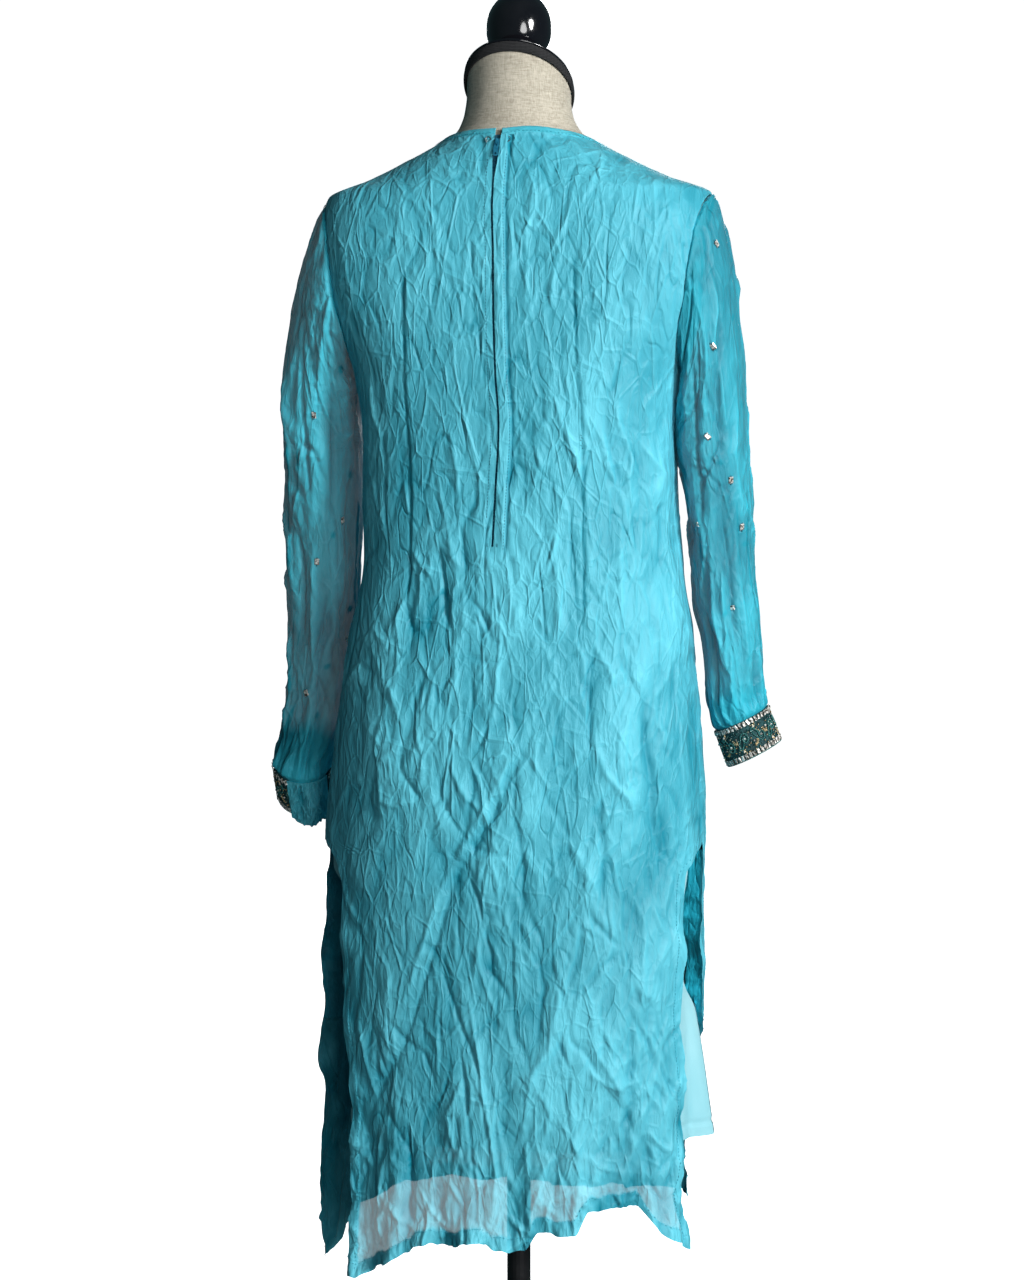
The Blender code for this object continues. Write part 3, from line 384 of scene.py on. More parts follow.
# Sleeves: the middle of each section, its half sizes, and how far its plane tips outward and forward, in degrees
SLEEVE_COLUMNS = ("height", "x", "y", "half_width", "half_depth", "tip_out", "tip_forward")
SLEEVES = {
    "left": (
        (728, 250, -62, 30, 35, 14, 30),
        (765, 251, -52, 31, 37, 12, 28),
        (805, 240, -50, 32, 41, 10, 18),
        (845, 231, -52, 34, 43, 6, 8),
        (905, 226, -52, 36, 45, 3, 3),
        (988, 222, -47, 37, 48, 1, 2),
        (1051, 220, -38, 36, 52, 0, 0),
        (1100, 217, -26, 35, 55, -2, 0),
    ),
    "right": (
        (787, 240, -58, 30, 36, 27, 4),
        (823, 226, -60, 30, 38, 25, 4),
        (846, 220, -58, 28, 40, 15, 3),
        (872, 218, -55, 27, 43, 8, 2),
        (905, 216, -52, 28, 46, 3, 2),
        (946, 210, -48, 31, 48, 2, 2),
        (988, 206, -44, 31, 50, 2, 0),
        (1051, 203, -36, 31, 53, 2, 0),
        (1100, 198, -26, 33, 55, 0, 0),
    ),
}
SLEEVE_TOP = 1100
# Shallow lengthwise folds of a sleeve: turn round the sleeve in degrees, how far out, how wide in degrees
SLEEVE_FOLDS = ((20, 1.6, 16), (75, -1.8, 18), (130, 1.8, 16), (185, -1.4, 18), (240, 1.6, 18), (300, -1.8, 18))

# The plain turned end of each cuff: the turns between which it takes the place of the beaded band, in degrees
CUFF_PLAIN = {"left": (60, 160), "right": (196, 232)}
CUFF_PLAIN_DROP = {"left": 8, "right": 0}
# The foot of the zip, the heights at which the rows start to follow the hem and the neckline, and small gaps
ZIP_END, HEM_BLEND, NECK_BLEND = 1004, 520, 1200
SEAM, BAND_GAP = 0.3, 0.4
PANEL_TOP = NECK_POINT - BINDING_WIDTH - BAND_GAP
print("body rows:", len(BODY), "creases of the solids:", len(FOLDS_BACK) + len(FOLDS_FRONT))

# %% [markdown]
# ## From tables to a surface
# One function reads a column for thousands of places at once. Another lays out the rounded section at every
# millimetre of height, so that any piece can ask for the point at a height and a share of the way round from the
# centre to the side, and for the direction in which the cloth faces there.

# %% The body's surface
def read(columns, rows, name, at):
    """A column's values at many places, on a smooth curve that never overshoots its rows."""
    rows = np.array(rows, float)
    x, y = rows[:, 0], rows[:, columns.index(name)]
    rate = np.diff(y) / np.diff(x)
    before, after = rate[:-1], rate[1:]
    total = np.where(before * after > 0, before + after, 1.0)
    slope = np.concatenate([rate[:1], np.where(before * after > 0, 2 * before * after / total, 0), rate[-1:]])
    at = np.clip(at, x[0], x[-1])
    i = np.clip(np.searchsorted(x, at, side="right") - 1, 0, len(x) - 2)
    span = x[i + 1] - x[i]
    t = (at - x[i]) / span
    curve = y[i] + t * t * (3 - 2 * t) * (y[i + 1] - y[i])
    return curve + t * (1 - t) ** 2 * span * slope[i] - t * t * (1 - t) * span * slope[i + 1]


def body(name, height):
    return read(BODY_COLUMNS, BODY, name, height)


def hand_of(across):
    """1 on the wearer's left, -1 on the wearer's right."""
    return np.where(across < 0, -1.0, 1.0)


# A point each millimetre up, and this many round a quarter; the angles crowd where a squarish section turns, and the
# form inside is rounder than the cloth
LEVELS = np.arange(225.0, 1482.0)
SHARES, ANGLES, CROWDING = 257, 97, 0.11
ROUND_POWER, ROUNDER = 2.3, 0.6
SKINS = {}
for face in ("back", "front"):
    for loose in (0, 1):
        a = body("half_width", LEVELS) - loose * body("loose_side", LEVELS)
        b = body(face, LEVELS) - loose * body("loose_" + face, LEVELS)
        n = body("power", LEVELS)
        n = n - loose * ROUNDER * np.maximum(0, n - ROUND_POWER)
        angle = np.radians(np.linspace(0, 90, ANGLES))
        angle = angle - CROWDING * np.sin(4 * angle)
        x = a[:, None] * np.sin(angle) ** (2 / n[:, None])
        y = b[:, None] * np.maximum(0, np.cos(angle)) ** (2 / n[:, None])
        run = np.hypot(np.diff(x, axis=1), np.diff(y, axis=1)).cumsum(axis=1)
        run = np.concatenate([np.zeros((len(LEVELS), 1)), run], axis=1)
        even = np.linspace(0, 1, SHARES)
        SKINS[face, loose] = (
            np.array([np.interp(even, r / r[-1], v) for r, v in zip(run, x)]),
            np.array([np.interp(even, r / r[-1], v) for r, v in zip(run, y)]),
            run[:, -1], a, b, n)


def lookup(grid, height, share):
    """A value between the levels and the shares of a laid out section."""
    h = np.clip(height - LEVELS[0], 0, len(LEVELS) - 1.001)
    i = h.astype(int)
    if grid.ndim == 1:
        return grid[i] + (h - i) * (grid[i + 1] - grid[i])
    s = np.clip(share, 0, 1) * (SHARES - 1)
    j = np.minimum(s.astype(int), SHARES - 2)
    low = grid[i, j] + (s - j) * (grid[i, j + 1] - grid[i, j])
    high = grid[i + 1, j] + (s - j) * (grid[i + 1, j + 1] - grid[i + 1, j])
    return low + (h - i) * (high - low)


def length_of(face, height):
    """The length of a quarter section, from the centre to the side."""
    return lookup(SKINS[face, 0][2], height, None)


def on_body(face, share, height, away=0.0, loose=0):
    """Points of the body in millimetres. A share of 1 is the left side, -1 the right side; away is along the normal."""
    share, height = np.broadcast_arrays(np.asarray(share, float), np.asarray(height, float))
    grids = SKINS[face, loose]
    x, y = (lookup(grid, height, np.abs(share)) for grid in grids[:2])
    a, b, n = (lookup(g, height, None) for g in grids[3:])
    nx = np.maximum(x / a, 0) ** (n - 1) / a
    ny = np.maximum(y / b, 0) ** (n - 1) / b
    size = np.maximum(np.hypot(nx, ny), 1e-9)
    facing = 1 if face == "back" else -1
    return np.stack([body("shift", height) + hand_of(share) * (x + away * nx / size),
                     facing * (y + away * ny / size), height], axis=-1)


print("half of the hem's length:", round(float(length_of("back", np.array(300.0)))), "mm")

# %% [markdown]
# ## Making a fine cloth
# A cloth starts as a flat grid from Blender's own grid operator. Its corners are then laid on the form's surface and
# pushed out or in by its relief, in one step for all of them, which is far quicker than one by one. The grid's UV map
# is kept in metres of cloth, so that a weave has the same size on every piece and follows it round.

# %% Cloth helpers
def facing_of(points):
    """The unit normals of a grid of points."""
    along = np.gradient(points, axis=1)
    up = np.gradient(points, axis=0)
    normal = np.cross(along, up)
    return normal / np.maximum(np.linalg.norm(normal, axis=-1, keepdims=True), 1e-12)


def cloth_mesh(name, points, finish, relief=None, thick=None, keep=None, closed=False, flat_map=None):
    """A sheet through a grid of points in millimetres, with a UV map in metres of cloth.

    relief is a tone for each corner, in most pieces painted light and shade, thick is a value for each corner, keep
    says which faces stay, and flat_map gives the cloth's own two lengths where they differ from the grid's.
    """
    rows, columns = points.shape[0] - 1, points.shape[1] - 1
    bm = bmesh.new()
    bm.loops.layers.uv.new("cloth")
    bmesh.ops.create_grid(bm, x_segments=columns, y_segments=rows, size=1.0, calc_uvs=True)
    data = mesh_from(bm, name)
    flat = np.zeros(len(data.vertices) * 3)
    data.vertices.foreach_get("co", flat)
    flat = flat.reshape(-1, 3)
    i = np.rint((flat[:, 0] + 1) / 2 * columns).astype(int)
    j = np.rint((flat[:, 1] + 1) / 2 * rows).astype(int)
    data.vertices.foreach_set("co", (points[j, i] * MM).astype(np.float32).ravel())
    if flat_map is None:
        across = np.linalg.norm(np.diff(points, axis=1), axis=-1).mean() * np.arange(columns + 1)
        along = np.linalg.norm(np.diff(points, axis=0), axis=-1).mean() * np.arange(rows + 1)
        flat_map = np.meshgrid(across, along)
    corner = np.zeros(len(data.loops), int)
    data.loops.foreach_get("vertex_index", corner)
    uv = np.stack([flat_map[0][j, i], flat_map[1][j, i]], axis=-1)[corner] * MM
    data.uv_layers["cloth"].data.foreach_set("uv", uv.astype(np.float32).ravel())
    for label, field in (("relief", relief), ("thick", thick)):
        if field is not None:
            made = data.attributes.new(label, "FLOAT", "POINT")
            made.data.foreach_set("value", field[j, i].astype(np.float32))
    with edited(data) as bm:
        if keep is not None:
            corners = ((f, [v.index for v in f.verts]) for f in bm.faces)
            gone = [f for f, spots in corners if not keep(int(i[spots].min()), int(j[spots].min()))]
            bmesh.ops.delete(bm, geom=gone, context="FACES")
        if closed:
            bmesh.ops.remove_doubles(bm, verts=bm.verts, dist=MERGE)
    data.update()
    data.shade_smooth()
    made = riding(name, data, finish)
    print(name, len(data.polygons), "faces,", round(sum(p.area for p in data.polygons), 3), "square metres")
    return made


def flip_to(made, centre=(0.0, 0.0)):
    """Turns a sheet's faces so that they look away from an upright line."""
    with edited(made.data) as bm:
        total = 0.0
        for f in bm.faces:
            middle = f.calc_center_median()
            total += f.normal.dot(Vector((middle.x - centre[0], middle.y - centre[1], 0))) * f.calc_area()
        if total < 0:
            bmesh.ops.reverse_faces(bm, faces=bm.faces)
    return made


print("cloth helpers ready")

# %% [markdown]
# ## Crushed chiffon
# This silk is twisted wet and dried, so it is full of small sharp creases that run mostly up and down, with flat
# facets between them. Noise alone gives soft hills, which look like water. Random heights on a stretched lattice of
# diamonds, joined by flat triangles, give straight folds and facets instead. Three sizes of them are added, and their
# places wander a little so that no row shows. The larger creases are drawn as strokes over it.

# %% The relief of crushed cloth
def step(value, low, high):
    """A smooth change from 0 to 1."""
    t = np.clip((value - low) / (high - low), 0, 1)
    return t * t * (3 - 2 * t)


def chance(i, j, seed):
    """A fixed number from -1 to 1 for each corner of a lattice."""
    value = np.sin(i * 127.1 + j * 311.7 + seed * 74.7) * 43758.5453
    return 2 * (value - np.floor(value)) - 1


def drift(u, v, seed, size):
    """A slow wandering from -1 to 1."""
    a = np.sin(u / size * 6.1 + seed * 1.7 + 1.3 * np.sin(v / size * 2.3 + seed))
    b = np.sin(v / size * 3.7 + seed * 2.9 + 1.1 * np.sin(u / size * 4.1 - seed))
    return 0.5 * (a + b)


def facets(u, v, wide, tall, seed):
    """Random heights on a lattice of upright diamonds, flat between their corners."""
    a, b = v / tall + u / wide, v / tall - u / wide
    i, j = np.floor(a), np.floor(b)
    s, t = a - i, b - j
    low, high = chance(i, j, seed), chance(i + 1, j + 1, seed)
    right = low + s * (chance(i + 1, j, seed) - low) + t * (high - chance(i + 1, j, seed))
    left = low + t * (chance(i, j + 1, seed) - low) + s * (high - chance(i, j + 1, seed))
    return np.where(s >= t, right, left)


def creased(u, v, wide, tall, seed, width):
    """Facets with thin folds along their edges, each of its own height and fading out at its ends."""
    a, b = v / tall + u / wide, v / tall - u / wide
    i, j = np.floor(a), np.floor(b)
    s, t = a - i, b - j
    reach = 1 / math.hypot(1 / wide, 1 / tall)
    total = facets(u, v, wide, tall, seed)
    for gap, place, p, q, kind in ((s * reach, t, i, j, 1), ((1 - s) * reach, t, i + 1, j, 1), (t * reach, s, i, j, 2),
                                   ((1 - t) * reach, s, i, j + 1, 2), (np.abs(s - t) * wide / 2, (s + t) / 2, i, j, 3)):
        size = chance(p, q, seed + 20 * kind)
        ends = np.clip(4 * np.minimum(place, 1 - place), 0, 1)
        total = total + 1.4 * size * np.sqrt(np.abs(size)) * np.clip(1 - gap / width, 0, 1) * ends
    return total


def hills(u, v, seed):
    """A smooth value from -1 to 1 with one hill or hollow to each unit."""
    i, j = np.floor(u), np.floor(v)
    s, t = step(u - i, 0, 1), step(v - j, 0, 1)
    low = chance(i, j, seed) * (1 - s) + chance(i + 1, j, seed) * s
    high = chance(i, j + 1, seed) * (1 - s) + chance(i + 1, j + 1, seed) * s
    return low * (1 - t) + high * t


# Width, height, lean and rise of each size of crease; a negative rise is a sharp furrow, a positive one a sharp ridge
CRUSH = ((50, 140, 0.10, -1.9), (44, 104, -0.32, 1.7), (27, 62, 0.28, -1.4), (22, 56, -0.16, 1.4),
         (12, 26, 0.05, -0.7))
# Straight creases: rise, lean, width and height of a facet, what the seed gains, and the width of the fold
LARGE_CREASE = (2.3, 0.10, 68, 120, 3, 4.6)
FINE_CREASES = ((1.1, -0.28, 44, 82, 5, 3.8), (0.4, 0.34, 27, 48, 7, 3.0))


def straight(u, v, seed, size):
    rise_mm, lean, wide, tall, more, width = size
    return rise_mm * creased(u + lean * v, v, wide, tall, seed + more, width)


def crushed(u, v, seed):
    """The relief of the creases in millimetres, given lengths along the cloth."""
    u2 = u + 9 * drift(u, v, seed, 90) + 3 * drift(u, v, seed + 3, 31)
    v2 = v + 12 * drift(v, u, seed + 5, 120)
    busy = 0.45 + 0.75 * step(hills(u2 / 74, v2 / 110, seed + 15), -0.5, 0.5)
    fine = straight(u2, v2, seed, FINE_CREASES[0]) + straight(u2, v2, seed, FINE_CREASES[1])
    for k, (wide, tall, lean, rise_mm) in enumerate(CRUSH):
        fine = fine + 0.36 * rise_mm * (0.7 - 2.2 * np.abs(hills((u2 + lean * v2) / wide, v2 / tall, seed + 11 * k)))
    large = 3.8 * facets(u2 + 0.16 * v2, v2, 96, 150, seed + 1) + straight(u2, v2, seed, LARGE_CREASE)
    return large + busy * fine


def strokes(x, z, table, sharp=1.5, edge=0.45):
    """Creases drawn as rows of rise, width, x, z, x, z ...: soft slopes with a narrow crest, fading at their ends."""
    total = np.zeros_like(x)
    for rise_mm, width, *run in table:
        run = np.array(run, float).reshape(-1, 2)
        low, high = run.min(axis=0) - width, run.max(axis=0) + width
        near = (x > low[0]) & (x < high[0]) & (z > low[1]) & (z < high[1])
        if not near.any():
            continue
        px, pz = x[near], z[near]
        best, place = np.full(px.shape, 1e9), np.zeros(px.shape)
        for k in range(len(run) - 1):
            leg = run[k + 1] - run[k]
            t = np.clip(((px - run[k, 0]) * leg[0] + (pz - run[k, 1]) * leg[1]) / (leg @ leg), 0, 1)
            gap = np.hypot(px - run[k, 0] - t * leg[0], pz - run[k, 1] - t * leg[1])
            closer = gap < best
            best = np.where(closer, gap, best)
            place = np.where(closer, (k + t) / (len(run) - 1), place)
        fade = np.clip(4 * np.minimum(place, 1 - place), 0, 1)
        soft = np.clip(1 - best / width, 0, 1) ** sharp
        crest = np.clip(1 - best / (0.27 * width), 0, 1)
        total[near] += rise_mm * (soft * (1 - edge) + crest * edge) * fade
    return total


def swell(distance, width):
    """A soft bump, 1 in its middle and 0 from its width outward."""
    return np.clip(1 - (distance / width) ** 2, 0, 1) ** 2


print("crease sizes:", [(wide, tall) for wide, tall, lean, rise_mm in CRUSH])

# %% [markdown]
# ## The finish of the chiffon
# Chiffon is a thin plain weave, sheer where it hangs alone and full in colour where it lies on its lining. A cloth
# shader with full transparency would be slow, so the weave is a fine bump and the sheerness is an Alpha below 1. A
# value painted on each corner, named thick, says where a turned hem or the lining makes it opaque. The colour carries
# painted light and shade: another value on each corner, named relief, and the thin crease lines of the bump make ridges
# lighter and furrows darker, besides a random cloud of tone. Sheen gives the pale bloom of silk at glancing angles.

# %% Chiffon
CLOTH_SHEER, SLEEVE_SHEER = 0.10, 0.16


def chiffon(name, sheer, dark=(0.002, 0.215, 0.300), light=(0.115, 0.540, 0.665)):
    f = Finish(name, Sheen_Weight=0.10, Sheen_Roughness=0.35, Sheen_Tint=(0.55, 0.93, 1.0), Specular_IOR_Level=0.28)
    uv = f.uv()
    patches = f.span(f.grain(uv, (19, 9, 1), turn=0.2), 0.38, 0.62)
    others = 1 - patches
    ridge = f.lines(uv, (21, 7, 1), 0.10, 0.050) * patches + f.lines(uv, (40, 15, 1), -0.30, 0.055) * others * 0.6
    furrow = f.lines(uv, (24, 8, 1), -0.22, 0.050) * others + f.lines(uv, (44, 17, 1), 0.28, 0.055) * patches * 0.6
    corners = f.borders(uv, (27, 13, 1), 0.12, 0.055, 1.0) * patches
    corners = corners + f.borders(uv, (48, 24, 1), -0.2, 0.06, 0.7) * others
    small = f.lines(uv, (95, 36, 1), 0.15, 0.070, 2.0)
    crinkle = f.cells(f.scaled(uv, (170, 60, 1)))
    fine = f.grain(uv, (520, 150, 1), 3.0, 0.6)
    cloud = f.grain(uv, (16, 7, 1), 3.0, 0.55)
    # Painted light and shade: the relief value, the ridge lines, the cells' borders and the crinkle lighten, the
    # furrows darken; only the cloud is a random tone.
    tone = f.attribute("relief") * 0.8 + cloud * 0.6 + ridge * 0.20 + corners * 0.10 - furrow * 0.32 + crinkle * 0.08
    height = (ridge - furrow) * 0.0012 + corners * 0.0009 + small * 0.0003 + crinkle * 0.0003 + fine * 0.0003
    height = height + f.weave(uv, 0.0007) * 0.00003
    alpha = 1 - (1 - f.attribute("thick")) * f.span(fine, 0.2, 0.8, sheer * 1.15, sheer * 0.85)
    return f.coat(f.span(tone, 0.14, 1.10), dark, light, cloud, (0.42, 0.56), height, Alpha=alpha)


chiffon_cloth = chiffon("crushed_chiffon", CLOTH_SHEER)
chiffon_sleeve = chiffon("sheer_sleeve", SLEEVE_SHEER, (0.002, 0.185, 0.260), (0.038, 0.490, 0.625))
chiffon_band = chiffon("folded_chiffon", 0.0, (0.010, 0.280, 0.370), (0.10, 0.54, 0.66))
print("light let through where it hangs alone:", CLOTH_SHEER, "sleeve:", SLEEVE_SHEER)

# %% [markdown]
# ## The drawn creases
# The eye knows a garment by its large creases: the long pull from the hip to the hem, the fans below the waist, the
# gathers beside the zip. A simulation would put them elsewhere, so they are drawn as strokes in millimetres across
# and up the back. Positive ones stand out, negative ones are troughs, and wide ones are soft.

# %% Creases of the back
# How far out (or in), how wide, and the run as x, height, x, height ...
CREASES = (
    (-2.6, 13, -65, 896, -35, 815, 2, 737, 44, 664, 67, 585, 96, 498, 129, 438, 143, 399),
    (2.2, 12, -52, 880, -20, 800, 18, 730, 58, 655, 82, 580, 110, 500), (2.6, 12, 49, 799, 39, 770, 29, 754, 7, 735),
    (-2.4, 11, 49, 795, 58, 762, 48, 735, 27, 710), (-2.8, 13, 33, 690, 17, 652, 4, 600, 0, 550),
    (-2.0, 10, 27, 705, 5, 699, -22, 694), (2.4, 12, -3, 960, -3, 902, 0, 870, 4, 829, 10, 809),
    (-2.0, 9, 31, 895, 9, 890), (-2.6, 11, 31, 905, 24, 850, 30, 800),
    (2.6, 12, 85, 912, 80, 890, 66, 869, 70, 840, 63, 819), (2.2, 10, 117, 869, 106, 845, 97, 819),
    (2.4, 11, 102, 805, 116, 792, 126, 784), (-2.6, 11, 100, 805, 99, 777, 82, 755, 75, 750),
    (2.0, 9, 84, 822, 75, 795, 76, 770, 82, 755), (2.4, 10, 126, 747, 107, 742, 84, 750),
    (-2.4, 11, 127, 784, 138, 749, 130, 720),
    (-3.0, 12, -21, 804, -22, 777, -19, 748, -24, 715, -29, 687, -28, 642, -26, 590),
    (-2.2, 10, -60, 850, -63, 819, -61, 792), (2.4, 11, -75, 814, -84, 800, -74, 781, -73, 767),
    (-4.0, 13, -92, 905, -92, 854, -94, 837, -92, 800),
    (3.0, 12, -97, 827, -104, 796, -109, 781, -133, 750, -137, 733),
    (-4.0, 14, -111, 767, -104, 739, -107, 708, -108, 677, -104, 630),
    (2.4, 11, -122, 833, -123, 792, -131, 760, -148, 739),
    (-5.0, 16, -145, 870, -145, 835, -147, 812, -154, 767, -154, 735, -164, 687, -166, 642),
    (3.0, 12, -150, 854, -163, 815, -158, 792, -161, 748, -156, 725), (-2.6, 11, -123, 927, -130, 904, -128, 844),
    (-3.0, 13, -170, 898, -172, 839), (2.6, 11, -76, 915, -86, 896, -92, 854),
    (2.6, 11, -92, 916, -111, 883, -117, 865), (2.2, 10, -46, 702, -74, 712, -89, 690, -92, 671, -88, 639),
    (2.2, 10, -29, 713, -35, 689, -44, 679, -46, 640), (-1.4, 10, 31, 1332, 28, 1286, 26, 1260, 25, 1225),
    (1.8, 11, -34, 1393, -30, 1376, -34, 1356, -27, 1313, -29, 1266, -27, 1246, -26, 1225),
    (-1.6, 10, -57, 1393, -52, 1376, -53, 1345), (1.4, 9, -54, 1289, -41, 1265, -33, 1246, -30, 1233),
    (1.4, 9, -60, 1306, -56, 1286, -54, 1246, -41, 1230),
    (2.6, 12, -47, 1172, -59, 1150, -63, 1130, -69, 1115, -78, 1092, -83, 1072, -84, 1050),
    (2.4, 11, -53, 1147, -46, 1129, -36, 1114, -41, 1089, -34, 1065, -42, 1036), (-1.8, 10, -19, 1139, -29, 1112),
    (2.6, 12, -97, 1139, -104, 1105, -110, 1082, -120, 1055, -128, 1022, -131, 1005, -146, 980),
    (4.0, 13, -119, 1172, -117, 1130, -128, 1105, -130, 1092, -126, 1072, -131, 1040),
    (-3.0, 12, -108, 1160, -106, 1120, -116, 1080, -118, 1040), (2.4, 11, -158, 1172, -143, 1147, -144, 1115),
    (3.0, 12, -131, 1122, -155, 1079, -151, 1045), (-2.6, 12, -155, 1079, -156, 1005, -151, 968),
    (2.6, 11, -120, 1039, -119, 1005, -120, 955, -119, 905),
    (2.4, 11, -58, 1039, -56, 1005, -59, 972, -61, 939, -61, 905), (-2.4, 10, -72, 1030, -72, 990, -76, 950),
    (2.2, 10, -87, 950, -95, 905), (-3.0, 12, -163, 1040, -171, 1005, -171, 960),
    (2.4, 11, 13, 1130, 4, 1070, 9, 1025), (2.4, 11, 53, 1130, 43, 1080, 43, 1055),
    (-2.4, 10, 30, 1085, 25, 1048, 40, 1025, 39, 1006, 30, 960), (2.4, 10, 94, 1004, 84, 988, 65, 972),
    (2.2, 10, 53, 1022, 50, 996, 42, 985), (-4.0, 12, 66, 1010, 63, 995, 58, 966, 57, 940, 48, 920),
    (2.6, 11, 83, 990, 84, 960, 91, 918), (2.4, 10, 43, 978, 47, 956, 47, 918),
    (2.6, 12, 139, 1180, 137, 1140, 125, 1112), (2.6, 12, 98, 960, 108, 931, 111, 908),
    (-2.2, 10, 99, 945, 91, 920, 96, 890), (-2.4, 12, 60, 600, 50, 564, 19, 489, 10, 462),
    (2.0, 10, 19, 625, 14, 581, 4, 551, -11, 520), (2.4, 11, 55, 575, 60, 524, 58, 489, 59, 450),
    (-2.2, 10, 121, 530, 96, 504, 73, 491, 56, 450),
    (4.0, 14, 26, 560, 22, 529, 14, 489, 9, 451, 4, 426, -4, 376, -1, 316),
    (-3.0, 12, 38, 520, 30, 470, 24, 420, 18, 360, 16, 310), (2.4, 11, 149, 520, 139, 479, 127, 436),
    (-2.2, 10, 122, 440, 101, 409, 83, 380), (2.4, 11, -86, 590, -98, 542, -100, 502, -123, 462, -134, 430),
    (-4.4, 14, -136, 565, -134, 512, -135, 472, -136, 442, -128, 424, -136, 390), (-2.6, 11, -151, 550, -150, 495),
    (2.2, 10, -118, 625, -139, 562, -160, 545), (2.4, 11, -116, 655, -116, 604, -100, 565),
    (3.0, 13, -57, 625, -67, 562, -57, 507, -39, 474, -30, 415), (-2.6, 12, -44, 610, -50, 560, -44, 500),
    (2.6, 13, -80, 430, -86, 380, -84, 330), (-2.6, 12, -62, 420, -64, 370, -60, 320),
    (2.4, 12, 60, 400, 66, 350, 64, 305), (-2.6, 12, 84, 400, 92, 350, 90, 300),
    (2.4, 12, 116, 390, 124, 340, 122, 290), (-2.2, 11, -120, 400, -112, 360),
    (2.8, 12, -100, 540, -118, 500, -112, 455), (-3.0, 12, -130, 545, -150, 505, -158, 470),
    (2.6, 11, -92, 480, -120, 462, -150, 470), (-3.0, 12, -150, 460, -132, 440, -140, 405),
    (2.6, 11, -165, 520, -160, 480, -170, 440), (-2.8, 12, -60, 520, -78, 480, -70, 440),
    (2.6, 11, -40, 470, -58, 440, -50, 400), (2.8, 12, 30, 470, 48, 430, 40, 390),
)
# Places where the cloth lies calm: across, up, half width, half height
CALM = ((60, 1120, 46, 130), (105, 1010, 40, 60), (106, 600, 48, 90), (-30, 1210, 60, 80), (-105, 1060, 18, 40))
# The two fitting darts, each a line of (height, x) from its lower to its upper point
DARTS = (
    ((945, 101), (973, 95.9), (1056, 94.9), (1172, 97.9), (1290, 99)),
    ((930, -85.7), (1023, -84.7), (1106, -83.6), (1155, -81.6), (1178, -79.6), (1300, -76)),
)
print("creases drawn:", len(CREASES))

# %% [markdown]
# ## The back
# The back is one panel, slashed down the middle for the zip. Its rows follow the hem's dips below and the neckline
# above, and its side edges run down the open slits, up the side seams and round the armholes. The seam edges stay flat
# so that the neighbouring pieces meet them; the free edges of the slits and the hem may curl.

# %% Laying out a panel
HEM_FOLD, SLIT_FOLD = 15, 11
SLOPE_START = 1340
# Heights between which the slits open, the zip begins, and the cloth lies on its lining
SLIT_OPENS, ZIP_BEGINS, LINED = (SLIT_TOP - 12, SLIT_TOP + 4), (ZIP_END - 14, ZIP_END + 4), (640, 690)
# The small dips of the rolled hem: depth, how many to half a panel, offset and seed
HEM_DIPS = ((3.0, 9, 0.4, 71), (1.8, 27, 0.0, 7))
SLOT_WIDENS, SLOT_WIDENS_OVER = 1374, 24
# How much further out the back's right edge lies at its slit, how drawn creases and a fold's ridge count, the least
# share of a large fold that a seam keeps, and the gap between cloth and solid
RIGHT_OUT, DRAWN, RIDGE, SEAM_KEEPS, CLEAR = 4.5, 1.15, 1.6, 0.2, 0.3


def row_heights(coarse, fine, top_rows):
    """Heights of a panel's rows before they bend, closer together over the shoulders."""
    return np.concatenate([np.arange(HEM_ROW, SLOPE_START, coarse), np.arange(SLOPE_START, SHOULDER_POINT, fine),
                           np.linspace(SHOULDER_POINT, PANEL_TOP, top_rows)])


NOMINAL = {"back": row_heights(2.8, 1.6, 50), "front": row_heights(3.2, 2.0, 44)}


def hem_line(face, across):
    """The hem's height, with the small dips of a rolled edge."""
    line = read(PANEL_COLUMNS, HEM, face, across)
    for depth, pace, offset, seed in HEM_DIPS:
        line = line + depth * hills(across * pace, across * 0 + offset, seed)
    return line


def neckline(face, across):
    """The height of a panel's upper edge, under the neck band's top."""
    return read(PANEL_COLUMNS, NECK, face, across)


def panel_rows(face, across, nominal):
    """Heights of a panel's rows between the hem and the neckline."""
    hem = hem_line(face, across)
    top = neckline(face, across) - BINDING_WIDTH - BAND_GAP
    low = hem + (nominal - HEM_ROW) / (HEM_BLEND - HEM_ROW) * (HEM_BLEND - hem)
    high = NECK_BLEND + (nominal - NECK_BLEND) / (PANEL_TOP - NECK_BLEND) * (top - NECK_BLEND)
    return np.where(nominal < HEM_BLEND, low, np.where(nominal > NECK_BLEND, high, nominal))


def edge_share(face, across, height):
    """Where a panel's edge runs, on the side on which a place lies."""
    left = read(EDGE_COLUMNS, EDGES, face + "_left", height)
    right = read(EDGE_COLUMNS, EDGES, face + "_right", height)
    return np.where(across < 0, right, left)


def slot_half(height):
    """Half the width of the zip's slot, which widens towards the neck."""
    return ZIP_SLOT / 2 + (ZIP_SLOT_TOP - ZIP_SLOT) / 2 * np.clip((height - SLOT_WIDENS) / SLOT_WIDENS_OVER, 0, 1)


def zip_x(height):
    return read(ZIP_COLUMNS, ZIP_LINE, "x", height)


def centre_of(face, across, height):
    """How far from the middle a panel's half begins: beside the zip's slot on the back, at the middle in front."""
    return hand_of(across) * (zip_x(height) - body("shift", height)) + slot_half(height) if face == "back" else 0.0


def length_across(face, across, height, end):
    """Lengths from the middle to places across a panel, whose edge lies at a length called end."""
    centre = centre_of(face, across, height)
    return centre + (end - centre) * np.abs(across)


